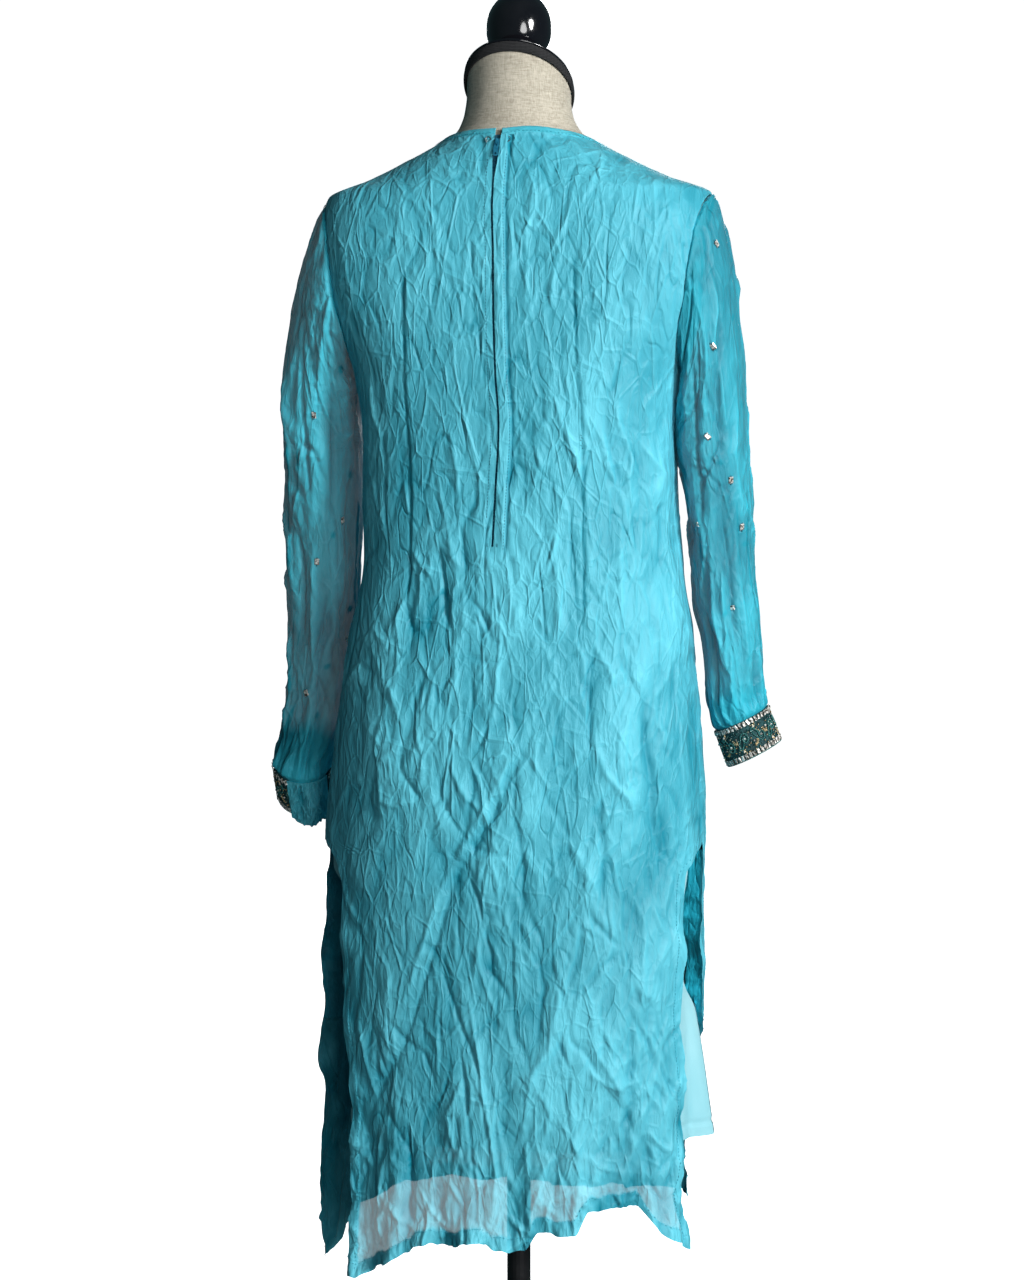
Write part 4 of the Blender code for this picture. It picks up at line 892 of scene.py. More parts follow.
def large_folds(face, across, x, height):
    """The folds and hem waves of the solid itself."""
    total = np.zeros_like(x)
    for rise_mm, width, *run in FOLDS_BACK if face == "back" else FOLDS_FRONT:
        total += strokes(x, height, ((0.4 * rise_mm, width * 1.1, *run),), 2.0, 0.0)
    fade = np.clip((WAVE_FADE - height) / (WAVE_FADE - HEM_ROW), 0, 1)
    for place, rise_mm, width in WAVES[face]:
        total += rise_mm * swell(across - place, width) * fade
    return total


def calm(x, height):
    """1 in the places where the back lies smooth, 0 elsewhere."""
    total = np.zeros_like(x)
    for cx, cz, wide, tall in CALM:
        total = np.maximum(total, np.exp(-((x - cx) / wide) ** 2 - ((height - cz) / tall) ** 2))
    return total


def crushed_by(face, across, x, height):
    """How strongly the cloth is crushed: more in the skirt, at the hem and at the lower right."""
    strength = 0.40 + 0.34 * (1 - step(height, 980, 1200)) + 0.26 * (1 - step(height, 330, 520))
    strength = strength + 0.36 * step(-across, 0.1, 0.6) * (1 - step(height, 480, 820))
    return strength * (1 - 0.72 * calm(x, height)) if face == "back" else strength


def drawn_creases(face, x, height):
    """The drawn creases; on the front they lie mirrored, a little lower, and are weaker at the top."""
    if face == "back":
        return strokes(x, height, CREASES, 1.3, 0.5)
    return strokes(-x + 6, height + 14, CREASES, 1.3, 0.5) * (1 - 0.5 * step(height, 1150, 1220))


def loose_edges(u, across, height, above, to_edge, seed):
    """The crumple over the hem, and the curl of the hem and of the open slits."""
    crumple = (2.6 * creased(u + 5 * drift(u, height, 8, 40), height, 42, 52, seed + 50, 3.4)
               - 2.4 * np.abs(hills(u / 21 + height / 60, height / 30, seed + 51)))
    crumple = crumple * (1 - step(above, 20, 170 + 170 * step(-across, 0.05, 0.5)))
    curl = 4.5 * hills(u / 21, above / 70, seed + 60) + 3.0 * hills(u / 9, above / 60, seed + 62)
    slit_curl = 4.0 * hills(height / 30, to_edge / 60, seed + 61) * (1 - step(height, 560, 690))
    return crumple, curl * (1 - step(above, 2, 40)) + slit_curl * (1 - step(to_edge, 2, 34))


# The lap's edge and the groove beside it, from the zip; and how far a dart fades at its ends
LAP_EDGE, GROOVE, DART_FADE = (10.5, 12.5), 13.0, 25


def zip_and_darts(x, height, zipped, away, shade):
    """Adds the zip's lap, its groove and the two darts to the back's relief, with painted light on the lap and painted
    shade in the groove and the darts.
    """
    beside = zip_x(height) - x
    lap = zipped * step(beside, 0, 1.5) * (1 - step(beside, *LAP_EDGE))
    groove = zipped * swell(beside - GROOVE, 3.4)
    away = away + 1.4 * lap - 1.9 * groove
    shade = shade + 1.2 * lap - 5.0 * groove
    for line in DARTS:
        foot, top = line[0][0], line[-1][0]
        s = x - read(ZIP_COLUMNS, line, "x", height)
        ends = step(height, foot, foot + DART_FADE) * (1 - step(height, top - DART_FADE, top))
        away = away - (0.9 * np.sign(s) * np.exp(-np.abs(s) / 7) + 1.1 * swell(s, 3.0)) * ends
        shade = shade - 4.5 * swell(s, 3.0) * ends
    return away, shade


def opacity(face, u, height, above, to_edge, fold_at, free):
    """1 where the cloth is folded double or lies on the lining or the form, 0 where it hangs alone."""
    thick = step(height, *LINED)
    if face == "front":
        thick = np.maximum(thick, step(np.abs(u), 90, 150))
    thick = np.maximum(thick, 1 - step(above, fold_at - 0.5, fold_at + 0.5))
    return np.maximum(thick, free * (1 - step(to_edge, SLIT_FOLD - 0.5, SLIT_FOLD + 0.5)))


def panel(face, across, nominal, seed):
    """Points, a tone of painted shading, opacity and flat lengths of a panel, at places across it and nominal heights.
    """
    height = panel_rows(face, across, nominal)
    length = length_of(face, height)
    end = edge_share(face, across, height) * length - SEAM / 2
    if face == "back":
        end = end + RIGHT_OUT * (across < 0) * step(height, 520, 580) * (1 - step(height, 680, 699))
    run = length_across(face, across, height, end)
    u = hand_of(across) * run
    share = u / length
    x = on_body(face, share, height)[..., 0]
    to_edge = end - run
    free = 1 - step(height, *SLIT_OPENS)
    above = height - hem_line(face, across)
    below_neck = (PANEL_TOP - nominal) * 1.6
    seam_fade = np.maximum(free, step(to_edge, 0.5, 9)) * step(below_neck, 0, 8)
    if face == "back":
        zipped = step(height, *ZIP_BEGINS)
        seam_fade = seam_fade * (1 - zipped * (1 - step(np.abs(x - zip_x(height)), 2, 18)))
    small = crushed(u, height, seed) * crushed_by(face, across, x, height)
    crumple, curl = loose_edges(u, across, height, above, to_edge, seed)
    relief = (small + DRAWN * drawn_creases(face, x, height) + crumple + curl) * seam_fade
    away = relief + large_folds(face, across, x, height) * np.maximum(seam_fade, SEAM_KEEPS) + CLEAR
    fold_at = HEM_FOLD + 2.4 * hills(u / 26, u * 0, 72)
    folded = np.clip(1 - np.abs(above - fold_at) / RIDGE, 0, 1)
    turned = free * np.clip(1 - np.abs(to_edge - SLIT_FOLD) / RIDGE, 0, 1)
    away = away + 0.5 * (1 - step(above, fold_at - 1, fold_at + 1)) - 0.7 * np.maximum(folded, turned)
    if face == "back":
        away, shade = zip_and_darts(x, height, zipped, away, 0.0)
    else:
        away = away + 6 * step(across, 0.90, 0.955) * (1 - step(height, *LINED))
        # Painted shade along the front's left edge below the slit, where the back panel's shadow falls.
        shade = -5 * step(across, 0.88, 0.95) * free
    sewn = (1 - free) * step(below_neck, 0, 6)
    away = away + sewn * (0.5 * hills(height / 8, to_edge / 16, seed + 70) * (1 - step(to_edge, 2, 15))
                          - 0.6 * (1 - step(to_edge, 0.4, 2.6)) - 1.3 * (1 - step(to_edge, 0, 0.5)))
    room = np.minimum(body("loose_side", height), body("loose_" + face, height)) - 1.0
    away = np.where(height > FORM_BOTTOM - 10, np.maximum(away, -room), away)
    thick = opacity(face, u, height, above, to_edge, fold_at, free)
    over_shoulder = np.maximum(height - SHOULDER_POINT, 0) * 2.2 * np.abs(share)
    # The tone is painted shading: lighter on the relief's ridges and darker in its troughs, with the painted shading of
    # the zip and darts on the back and of the left edge on the front.
    tone = np.clip(0.5 + (relief + shade) / 9, 0, 1)
    return on_body(face, share, height, away), tone, thick, (u, height + over_shoulder)


print("rows:", {face: len(rows) for face, rows in NOMINAL.items()})

# %% The back cloth
BACK_SEED, FRONT_SEED = 3, 29
half = np.concatenate([np.linspace(0, 0.06, 10, endpoint=False), np.linspace(0.06, 1, 98)])
HALF = len(half) - 1
across, nominal = np.meshgrid(np.concatenate([-half[::-1], half]), NOMINAL["back"])
across[:, HALF] = -1e-9
# relief here holds the panel's tone of painted shading, which the chiffon's colour reads.
points, relief, thick, flat_map = panel("back", across, nominal, BACK_SEED)
zip_row = int(np.searchsorted(NOMINAL["back"], ZIP_END))
back = flip_to(cloth_mesh("back_cloth", points, chiffon_cloth, relief, thick,
                          keep=lambda i, j: i != HALF or j < zip_row, flat_map=flat_map))
stands_for(back, "chiffon", "back")

# %% [markdown]
# ## The front
# Only the front's edges show through the slits, but the part is looked at from all sides. It has the same cloth with
# the same kinds of creases, in other places, and a plain round neck.

# %% The front cloth
across, nominal = np.meshgrid(np.linspace(-1, 1, 141), NOMINAL["front"])
points, relief, thick, flat_map = panel("front", across, nominal, FRONT_SEED)
front = flip_to(cloth_mesh("front_cloth", points, chiffon_cloth, relief, thick, flat_map=flat_map))
stands_for(front, "chiffon", "front")

# %% [markdown]
# ## The neck band
# The round neck is bound with a narrow strip of the same silk, folded over the raw edge. Here it is a strip along the
# neckline with a small crown, given a wall by Solidify. It stops at both sides of the zip.

# %% The neck band
def neck_line(face, across, below, away):
    """Points of the neck band, below the neckline and out from the body by some millimetres."""
    height = neckline(face, across) - below
    at = neckline(face, across) - BINDING_WIDTH - BAND_GAP if face == "front" else height
    length = length_of(face, at)
    end = edge_share(face, across, at) * length - SEAM / 2
    return on_body(face, hand_of(across) * length_across(face, across, height, end) / length, height, away)


BAND_LAP, BAND_WALL, BAND_TONE = 1.4, 0.9, 0.55
below = np.linspace(0, BINDING_WIDTH + BAND_LAP, 11)
crown = 0.2 + 0.9 * np.sqrt(np.clip(1 - ((below - 3) / 3.3) ** 2, 0, 1))
parts = []
for face, start, stop, steps in (("back", 1e-9, 1, 90), ("front", 1, -1, 200), ("back", -1, -1e-9, 90)):
    side, down = np.meshgrid(np.linspace(start, stop, steps), below, indexing="ij")
    pucker = 0.25 * facets(side * 190, down, 5, 40, 8)
    parts.append(neck_line(face, side, down, crown[None, :] + pucker)[(0 if not parts else 1):])
points = np.concatenate(parts)
band = flip_to(cloth_mesh("neck_band", points, chiffon_band, np.full(points.shape[:2], BAND_TONE)))
neck = stands_for(walled(band, BAND_WALL), "chiffon", "neck_binding")

# %% [markdown]
# ## The sleeves
# A set-in sleeve starts inside the armhole, swells over the shoulder as its head, and hangs as a soft tube down to the
# wrist, where it is gathered into the cuff. Its own cloth is sheer: the far wall shows through the near one as darker
# creases. The head is a smooth blend from the armhole's curve to the arm's first section.

# %% Laying out a sleeve
# How far the sleeve's head leaves the armhole outward and downward, and how it falls onto the arm: least and more
HEAD_OUT, HEAD_DOWN, HEAD_FALL = (26, 62), (18, 34), (70, 190)
SEAM_IN, HEAD_GAP = 2.6, 1.0


def sleeve_value(side, name, height):
    return read(SLEEVE_COLUMNS, SLEEVES[side], name, height)


def sleeve_ring(side, height, turn, away=0.0):
    """Points of a sleeve's section: a turn of 0 degrees is the outer side, 90 the back, 180 the inner side."""
    height, turn = np.broadcast_arrays(np.asarray(height, float), np.asarray(turn, float))
    angle = np.radians(turn)
    x = (sleeve_value(side, "half_width", height) + away) * np.cos(angle)
    y = (sleeve_value(side, "half_depth", height) + away) * np.sin(angle)
    tip = np.radians(sleeve_value(side, "tip_out", height))
    lean = np.radians(sleeve_value(side, "tip_forward", height))
    z = x * np.sin(tip)
    y, z = y * np.cos(lean) + z * np.sin(lean), z * np.cos(lean) - y * np.sin(lean)
    return np.stack([HANDS[side] * (sleeve_value(side, "x", height) + x * np.cos(tip)),
                     sleeve_value(side, "y", height) + y, height + z], axis=-1)


def armhole(side, turn):
    """The sleeve's upper edge inside the armhole. A turn of 0 is the shoulder, 180 the armpit."""
    turn = turn % 360
    down = np.where(turn <= 180, turn, 360 - turn) / 180
    share = 0.5 - 0.5 * np.cos(np.pi * down)
    low, high = ARMPIT + 0.8, SHOULDER_POINT - HEAD_GAP
    height = high + (low - high) * (0.35 * down + 0.65 * share)
    nominal = ARMPIT + (height - low) / (high - low) * (SHOULDER_POINT - ARMPIT)
    found = []
    for face in ("back", "front"):
        at = read(EDGE_COLUMNS, EDGES, face + "_" + side, nominal) - SEAM_IN / length_of(face, height)
        found.append(on_body(face, HANDS[side] * at, height))
    return np.where((turn <= 180)[..., None], found[0], found[1])


def sleeve_base(side, t, height, turn):
    """t runs from 0 at the armhole to 1 at the arm's first section; below it the height counts."""
    outer = (0.5 + 0.5 * np.cos(np.radians(turn)))[..., None]
    upper, lower = armhole(side, turn), sleeve_ring(side, SLEEVE_TOP, turn)
    leave = np.array([HANDS[side], 0, 0]) * (HEAD_OUT[0] + HEAD_OUT[1] * outer)
    leave = leave - np.array([0, 0, 1]) * (HEAD_DOWN[0] + HEAD_DOWN[1] * outer)
    arrive = -np.array([0, 0, 1]) * (HEAD_FALL[0] + HEAD_FALL[1] * outer)
    t = t[..., None]
    lift = 2 * t ** 3 - 3 * t ** 2
    head = upper * (1 + lift) - lower * lift + leave * (t ** 3 - 2 * t ** 2 + t) + arrive * (t ** 3 - t ** 2)
    return np.where(t < 1, head, sleeve_ring(side, height, turn))


# Creases of the sleeves: how far out, how wide, and the run as turn in degrees, height, turn, height ...
SLEEVE_CREASES = {
    "left": (
        (-3.0, 14, 60, 1250, 75, 1180, 84, 1100, 90, 1040), (2.6, 13, 100, 1290, 104, 1200, 96, 1130),
        (3.0, 13, 40, 1210, 52, 1120, 48, 1030), (-3.0, 13, 120, 1180, 128, 1100, 120, 1020),
        (-3.4, 14, 58, 1040, 70, 960, 62, 880), (3.0, 13, 92, 1010, 86, 930, 96, 850),
        (-3.0, 12, 110, 950, 104, 880, 112, 800), (3.0, 12, 30, 930, 42, 850, 36, 780),
        (-2.6, 12, 64, 860, 72, 810, 70, 772), (2.8, 12, 140, 900, 134, 830, 140, 775),
        (2.6, 13, -30, 1200, -20, 1100, -26, 1000), (-3.0, 13, -60, 1120, -52, 1000, -60, 900),
        (3.0, 13, -90, 1040, -82, 930, -90, 820), (-2.8, 13, 200, 1080, 208, 960, 200, 850),
        (-2.8, 12, 8, 1100, 14, 1010, 8, 930), (2.8, 12, 232, 1000, 240, 900, 236, 800),
    ),
    "right": (
        (-3.0, 14, 50, 1240, 66, 1160, 60, 1080), (2.6, 13, 90, 1290, 84, 1200, 92, 1110),
        (3.0, 13, 30, 1180, 40, 1090, 34, 1010), (-3.2, 13, 112, 1200, 104, 1110, 110, 1020),
        (-3.4, 14, 70, 1060, 60, 980, 72, 900), (3.0, 13, 96, 1010, 104, 930, 96, 870),
        (3.2, 13, 44, 980, 54, 910, 46, 850), (-3.0, 12, 20, 930, 30, 870, 26, 826),
        (-3.0, 12, 120, 930, 112, 870, 120, 826), (2.8, 12, 80, 900, 86, 860, 80, 826),
        (2.6, 13, -30, 1180, -20, 1090, -28, 1000), (-3.0, 13, -60, 1100, -52, 1000, -60, 900),
        (3.0, 13, -90, 1040, -82, 940, -90, 840), (-2.8, 13, 200, 1080, 208, 980, 200, 880),
        (-2.8, 12, 6, 1080, 12, 1000, 6, 920), (2.8, 12, 232, 1000, 240, 920, 236, 840),
    ),
}
SLEEVE_LOW = {side: SLEEVES[side][1][0] for side in SLEEVES}
AROUND, HEAD_ROWS, ARM_ROWS = 136, 84, 170
HEAD_LENGTH, HEAD_ABOVE_WRIST, ARM_RADIUS, DRAWN_MM = 200, 300, 44, 0.77
GATHER = {"left": 4.6, "right": 2.4}
MIDDLE_OF_ARM = (0.225, -0.04)


def drawn_on_sleeve(side, turn, z):
    """The drawn creases of a sleeve, also where the turns begin again."""
    table = [(rise_mm, width, *(np.array(run, float).reshape(-1, 2) * (DRAWN_MM, 1)).ravel())
             for rise_mm, width, *run in SLEEVE_CREASES[side]]
    return sum(strokes((turn + shift) * DRAWN_MM, z, table) for shift in (0, 360, -360))


def sleeve_painted_shading(side, turn, height, seed):
    """Painted light and shade of a sleeve: the left one painted lighter than the right, most towards the wrist, and
    darker bands at the sides of each, partly the far wall showing through and partly painted shade of the body.
    """
    edge = turn + 9 * hills(height / 70, height * 0, seed)
    if side == "left":
        return 0.60 + 0.30 * (1 - step(height, 950, 1180)) - 0.36 * swell(edge - 14, 42) - 0.16 * swell(edge - 152, 40)
    return 0.40 - 0.30 * swell(edge - 146, 48)


def sleeve_cloth(side, seed):
    t = np.concatenate([np.linspace(0, 1, HEAD_ROWS, endpoint=False), np.ones(ARM_ROWS)])
    heights = np.concatenate([np.full(HEAD_ROWS, SLEEVE_TOP), np.linspace(SLEEVE_TOP, SLEEVE_LOW[side] - 4, ARM_ROWS)])
    turn, grow = np.meshgrid(np.linspace(0, 360, AROUND + 1) + 180, t)
    height = np.meshgrid(turn[0], heights)[1]
    flat = sleeve_base(side, grow, height, turn)
    wrapped = (turn + 180) % 360 - 180
    u = np.radians(turn) * ARM_RADIUS
    along = np.where(grow < 1, grow * HEAD_LENGTH, HEAD_LENGTH + SLEEVE_TOP - height)
    from_wrist = height - SLEEVE_LOW[side] + (1 - np.minimum(grow, 1)) * HEAD_ABOVE_WRIST
    blend = step(np.minimum(turn - 180, 540 - turn), 0, 30)
    small = crushed(u, -along, seed) * blend + crushed(u + math.tau * ARM_RADIUS, -along, seed) * (1 - blend)
    gather = GATHER[side] * facets(u, along, 9, 170, seed + 9) * (1 - step(from_wrist, 4, 90)) * step(from_wrist, 0, 5)
    fade = step(along, 0, 16) * step(from_wrist, 0, 22)
    relief = (small * 1.2 + 1.7 * drawn_on_sleeve(side, wrapped, flat[..., 2])) * fade + gather
    folds = sum(rise_mm * swell((turn - place + 180) % 360 - 180, width) for place, rise_mm, width in SLEEVE_FOLDS)
    folds = folds * step(SLEEVE_TOP - height, 0, 80) * step(from_wrist, 0, 60)
    away = relief + folds + 0.3 + 0.8 * step(from_wrist, 0, 4) - 2.2 * (1 - step(from_wrist, -1, 1.5))
    away = away - 2.4 * (1 - step(along, 0.5, 5.5))
    outward = facing_of(flat)
    row = HEAD_ROWS + 20
    sign = np.sign((outward[row] * (flat[row] - flat[row].mean(axis=0))).sum())
    points = flat + outward * sign * away[..., None]
    points[:, -1] = points[:, 0]
    thick = np.maximum(1 - step(along, 5, 8), 1 - step(from_wrist, 8, 40))
    # The tone is painted light and shade: the sleeve's painted shading, with the relief's ridges lighter and its
    # troughs darker.
    tone = np.clip(sleeve_painted_shading(side, wrapped, height, seed) + relief / 7, 0, 1)
    made = cloth_mesh("sleeve_cloth_" + side, points, chiffon_sleeve, tone, thick, closed=True, flat_map=(u, -along))
    flip_to(made, (HANDS[side] * MIDDLE_OF_ARM[0], MIDDLE_OF_ARM[1]))
    return stands_for(made, "chiffon", "sleeve_" + side)


sleeves = {side: sleeve_cloth(side, seed) for side, seed in (("left", 41), ("right", 57))}

# %% [markdown]
# ## The lining and the slit facings
# A plain opaque lining hangs inside the skirt and ends above the hem, so the last hand's breadth is sheer. It hangs
# smoother than the chiffon, with a few long soft folds. Beside each slit the front's edge is turned in and shows as a
# narrow darker strip.

# %% Finish of the lining
def plain_lining():
    f = Finish("plain_lining", Roughness=0.6, Sheen_Weight=0.2, Sheen_Roughness=0.4, Specular_IOR_Level=0.4)
    uv = f.uv()
    cloud, slub = f.grain(uv, (20, 6, 1), 3.0), f.grain(uv, (60, 900, 1))
    return f.coat(f.span(cloud, 0.3, 0.7), (0.20, 0.52, 0.60), (0.38, 0.68, 0.74), slub, (0.52, 0.66),
                  f.weave(uv, 0.0006) * 0.00003 + slub * 0.00012)


lining_finish = plain_lining()

# %% The lining
LINING_COLUMNS = ("height", "inset")
LINING_RISE = 696
LINING_INSETS = ((LINING_HEM, 13), (620, 12), (650, 10), (LINING_TOP, 8), (LINING_RISE, 7))
KICK_HEIGHT, KICK_OUT, TUCK_IN, FOLLOW_FROM = 151, 20, 28, 545


def lining_points(face, across, height):
    """Points of the lining: at its right it is drawn in beside the slit and kicks out again at its hem."""
    kick = np.where(across < 0, np.clip(1 - (height - LINING_HEM) / KICK_HEIGHT, 0, 1) ** 0.7, 0)
    length = length_of(face, height)
    tucked = TUCK_IN * step(height, 520, 566) * (across < 0)
    share = np.abs(across) * (1 - (0.35 + 1.6 * kick + tucked) / length)
    hand = hand_of(across)
    x = on_body(face, hand * share, height)[..., 0]
    follow = np.clip((height - FOLLOW_FROM) / (LINING_TOP - FOLLOW_FROM), 0, 1)
    away = follow * large_folds(face, across, x, height)
    away = away - read(LINING_COLUMNS, LINING_INSETS, "inset", height)
    soft = 1.6 * facets(across * length, height, 44, 420, 77) * (1 - step(height, 560, 640)) * step(1 - share, 0, 0.1)
    soft = soft - 1.4 * swell(height - LINING_HEM - 14, 3.5)
    soft = soft - 22 * step(across, 0.5, 0.85) * (1 - step(height, 620, 668))
    return on_body(face, hand * share, height, away + KICK_OUT * kick * swell(1 - share, 0.1) + soft)


linings, strips = [], []
for face in ("back", "front"):
    across, height = np.meshgrid(np.linspace(-1, 1, 121), np.linspace(LINING_HEM, LINING_RISE, 116))
    made = flip_to(cloth_mesh("lining_cloth_" + face, lining_points(face, across, height), lining_finish))
    linings.append(stands_for(made, "lining", "lining_" + face))

# %% The slit facings
facing_finish = chiffon("facing_chiffon", 0.0, (0.003, 0.130, 0.190), (0.014, 0.410, 0.560))
FACING_WIDTH, FACING_FOOT, FACING_TOP = 22, 500, 690
# Painted light and shade of the slit strips: the right one, in the light, is painted light, the left one, in the back's
# shadow, painted dark.
FACING_PAINTED_LIGHT = {"left": 0.1, "right": 0.9}
for side, hand in HANDS.items():
    across, height = np.meshgrid(np.array([hand * 1.0, hand * 0.97]), np.linspace(FACING_FOOT, FACING_TOP, 76))
    edge_line = panel("front", across, height, FRONT_SEED)[0]
    rim, next_in = edge_line[:, 0], edge_line[:, 1]
    along = (next_in - rim) / np.linalg.norm(next_in - rim, axis=-1, keepdims=True)
    inward = np.stack([along[:, 1], -along[:, 0], np.zeros(len(along))], axis=-1)
    inward *= np.sign((inward[:, :2] * -rim[:, :2]).sum(axis=-1))[:, None]
    steps = np.linspace(0.4, FACING_WIDTH, 9)
    wave = 1 + 0.10 * hills(height[:, :1] / 24, height[:, :1] * 0, 5)
    turned = along * 0.30 + inward * 0.95
    points = rim[:, None] + turned[:, None] * (steps * wave)[..., None] + along[:, None] * 1.2
    made = flip_to(cloth_mesh("slit_strip_" + side, points, facing_finish,
                              np.full(points.shape[:2], FACING_PAINTED_LIGHT[side])))
    strips.append(stands_for(made, "chiffon", "slit_facing_" + side))

# %% [markdown]
# ## The cuffs
# Each wrist ends in a band of dark net, sewn all over with beads, and a short plain turned end where it closes. The
# band here is a thin curved strip on its solid's form; the beads come on top of it further down.

# %% The cuff bands
CUFF_REACH, CUFF_GAP, CUFF_WALL, CUFF_RADIUS = 5, 0.5, 1.0, 34


def cuff_point(side, turn, down, away=0.0):
    """Points of the wrist band, given millimetres below its upper edge."""
    turn, down = np.broadcast_arrays(np.asarray(turn, float), np.asarray(down, float))
    bottom, top = SLEEVES[side][0][0], SLEEVES[side][1][0]
    height = top - CUFF_GAP - down * (top - bottom) / CUFF_WIDTH
    ring = sleeve_ring(side, np.maximum(height, bottom), turn, away)
    above = sleeve_ring(side, np.full_like(height, bottom + CUFF_REACH), turn, away)
    edge_ring = sleeve_ring(side, np.full_like(height, bottom), turn, away)
    past = (edge_ring - above) * (np.maximum(bottom - height, 0) / CUFF_REACH)[..., None]
    return ring + past


def net_finish():
    f = Finish("dark_net", Roughness=0.7, Specular_IOR_Level=0.3)
    uv = f.uv()
    cloud = f.grain(uv, (180, 180, 1), 3.0)
    return f.coat(f.span(cloud, 0.35, 0.65), (0.006, 0.030, 0.034), (0.020, 0.085, 0.090), cloud, (0.55, 0.8),
                  f.weave(uv, 0.0011) * 0.0001 + cloud * 0.0004)


net = net_finish()
# The left band reaches 20 degrees under its plain end; that end starts later, is rougher and lies further out.
BAND_UNDER, END_LATER = {"left": 20, "right": 0}, {"left": 15, "right": 0}
END_ROUGH, END_OUT = {"left": 2.6, "right": 1.3}, {"left": 1.4, "right": 0.0}
BAND_RANGE = {side: (CUFF_PLAIN[side][1] + 2.4, CUFF_PLAIN[side][0] + 360 - 2.4 + BAND_UNDER[side])
              for side in CUFF_PLAIN}
for side in HANDS:
    middle = sleeve_ring(side, SLEEVES[side][0][0], np.array([0.0, 180.0])).mean(axis=0)[:2] * MM
    turn, down = np.meshgrid(np.linspace(*BAND_RANGE[side], 100), np.linspace(CUFF_WIDTH, 0.3, 22))
    edge_roll = 0.5 * (swell(down - 0.3, 2) + swell(down - CUFF_WIDTH, 2))
    band = flip_to(cloth_mesh("cuff_band_" + side, cuff_point(side, turn, down, edge_roll), net), middle)
    stands_for(band, "beadwork", "cuff_" + side)
    start, end = CUFF_PLAIN[side][0] + END_LATER[side], CUFF_PLAIN[side][1]
    drop = CUFF_WIDTH + CUFF_PLAIN_DROP[side]
    turn, down = np.meshgrid(np.linspace(start, end, 80), np.linspace(drop, 0.3, 56))
    place = (turn - start) / (end - start)
    round_mm = np.radians(turn) * CUFF_RADIUS
    soft = 0.6 + END_ROUGH[side] * (0.9 * facets(round_mm, down, 9, 60, 5) + creased(round_mm, down, 15, 24, 6, 2.4)
                                    + 0.7 * creased(round_mm + 0.4 * down, down, 8, 17, 8, 1.6))
    soft = soft * np.sqrt(np.sin(np.pi * place)) * step(down, 0, 6) + END_OUT[side]
    down = down * (1 + 0.05 * hills(turn / 21, turn * 0, 9) - 0.10 * (2 * place - 1) ** 4)
    # The turned end's tone is painted shading: its raised creases lighter, its hollows darker.
    turned_end = cloth_mesh("cuff_end_" + side, cuff_point(side, turn, down, soft), chiffon_band,
                            np.clip(0.4 + soft / 6, 0, 1))
    stands_for(flip_to(turned_end, middle), "chiffon", "cuff_turning_" + side)
    [walled(piece, CUFF_WALL) for piece in (band, turned_end)]

# %% [markdown]
# ## The dress form
# The form is padded and covered in linen; only its neck shows. Its cover is rebuilt finer, from the same sections, so
# that the neck is round in a close view. The braid, the cap and the turned knob follow.

# %% Finishes of the form
def linen_finish():
    f = Finish("cream_linen", Sheen_Weight=0.15, Specular_IOR_Level=0.25)
    place = f.place()
    upright, level = f.grain(place, (900, 900, 140)), f.grain(place, (140, 140, 900))
    slub, cloud = f.grain(place, (60, 60, 420), 3.0), f.noise(place, 14.0, 3.0)
    tone = upright * 0.4 + level * 0.4 + slub * 0.25 + cloud * 0.2
    return f.coat(f.span(tone, 0.45, 0.85), (0.30, 0.265, 0.205), (0.62, 0.57, 0.47), slub, (0.82, 0.95),
                  f.weave(place, 0.0016, (0, 2)) * 0.00008 + (upright + level) * 0.00025 + slub * 0.0003)


def plain_finish(name, dark, light, rough, grain, depth, **constants):
    """A hard finish with a fine grain: two tones, a little wear in its roughness, and a slight bump."""
    f = Finish(name, **constants)
    place = f.place()
    cloud, fine = f.noise(place, grain, 3.0), f.noise(place, grain * 9, 2.0)
    return f.coat(f.span(cloud, 0.35, 0.7), dark, light, fine, rough, fine * depth)


def braid_finish():
    f = Finish("black_braid", Specular_IOR_Level=0.4)
    place = f.place()
    x, z = f.part(place, 0), f.part(place, 2)
    chevron = f.sine(x + z * 0.8, 0.0024) * f.sine(x - z * 0.8, 0.0024)
    fuzz = f.noise(place, 1400.0, 2.0)
    return f.coat(f.span(chevron + fuzz * 0.5, -0.6, 1.0), (0.003, 0.003, 0.0035), (0.028, 0.028, 0.03),
                  fuzz, (0.7, 0.9), chevron * 0.0003 + fuzz * 0.0002)


linen, braid = linen_finish(), braid_finish()
gloss = plain_finish("gloss_black", (0.004, 0.004, 0.006), (0.008, 0.008, 0.010), (0.08, 0.16), 30.0, 0.00002,
                     Coat_Weight=0.6, Coat_Roughness=0.06)
satin = plain_finish("satin_black", (0.012, 0.012, 0.014), (0.024, 0.024, 0.026), (0.32, 0.45), 24.0, 0.00003,
                     Metallic=0.6)
print("finishes of the form:", linen.name, braid.name, gloss.name, satin.name)

# %% The form's cover
NECK_TOP_SLOPE, NECK_FOOT, TUCK_HEIGHT = 0.6, 1432, 694


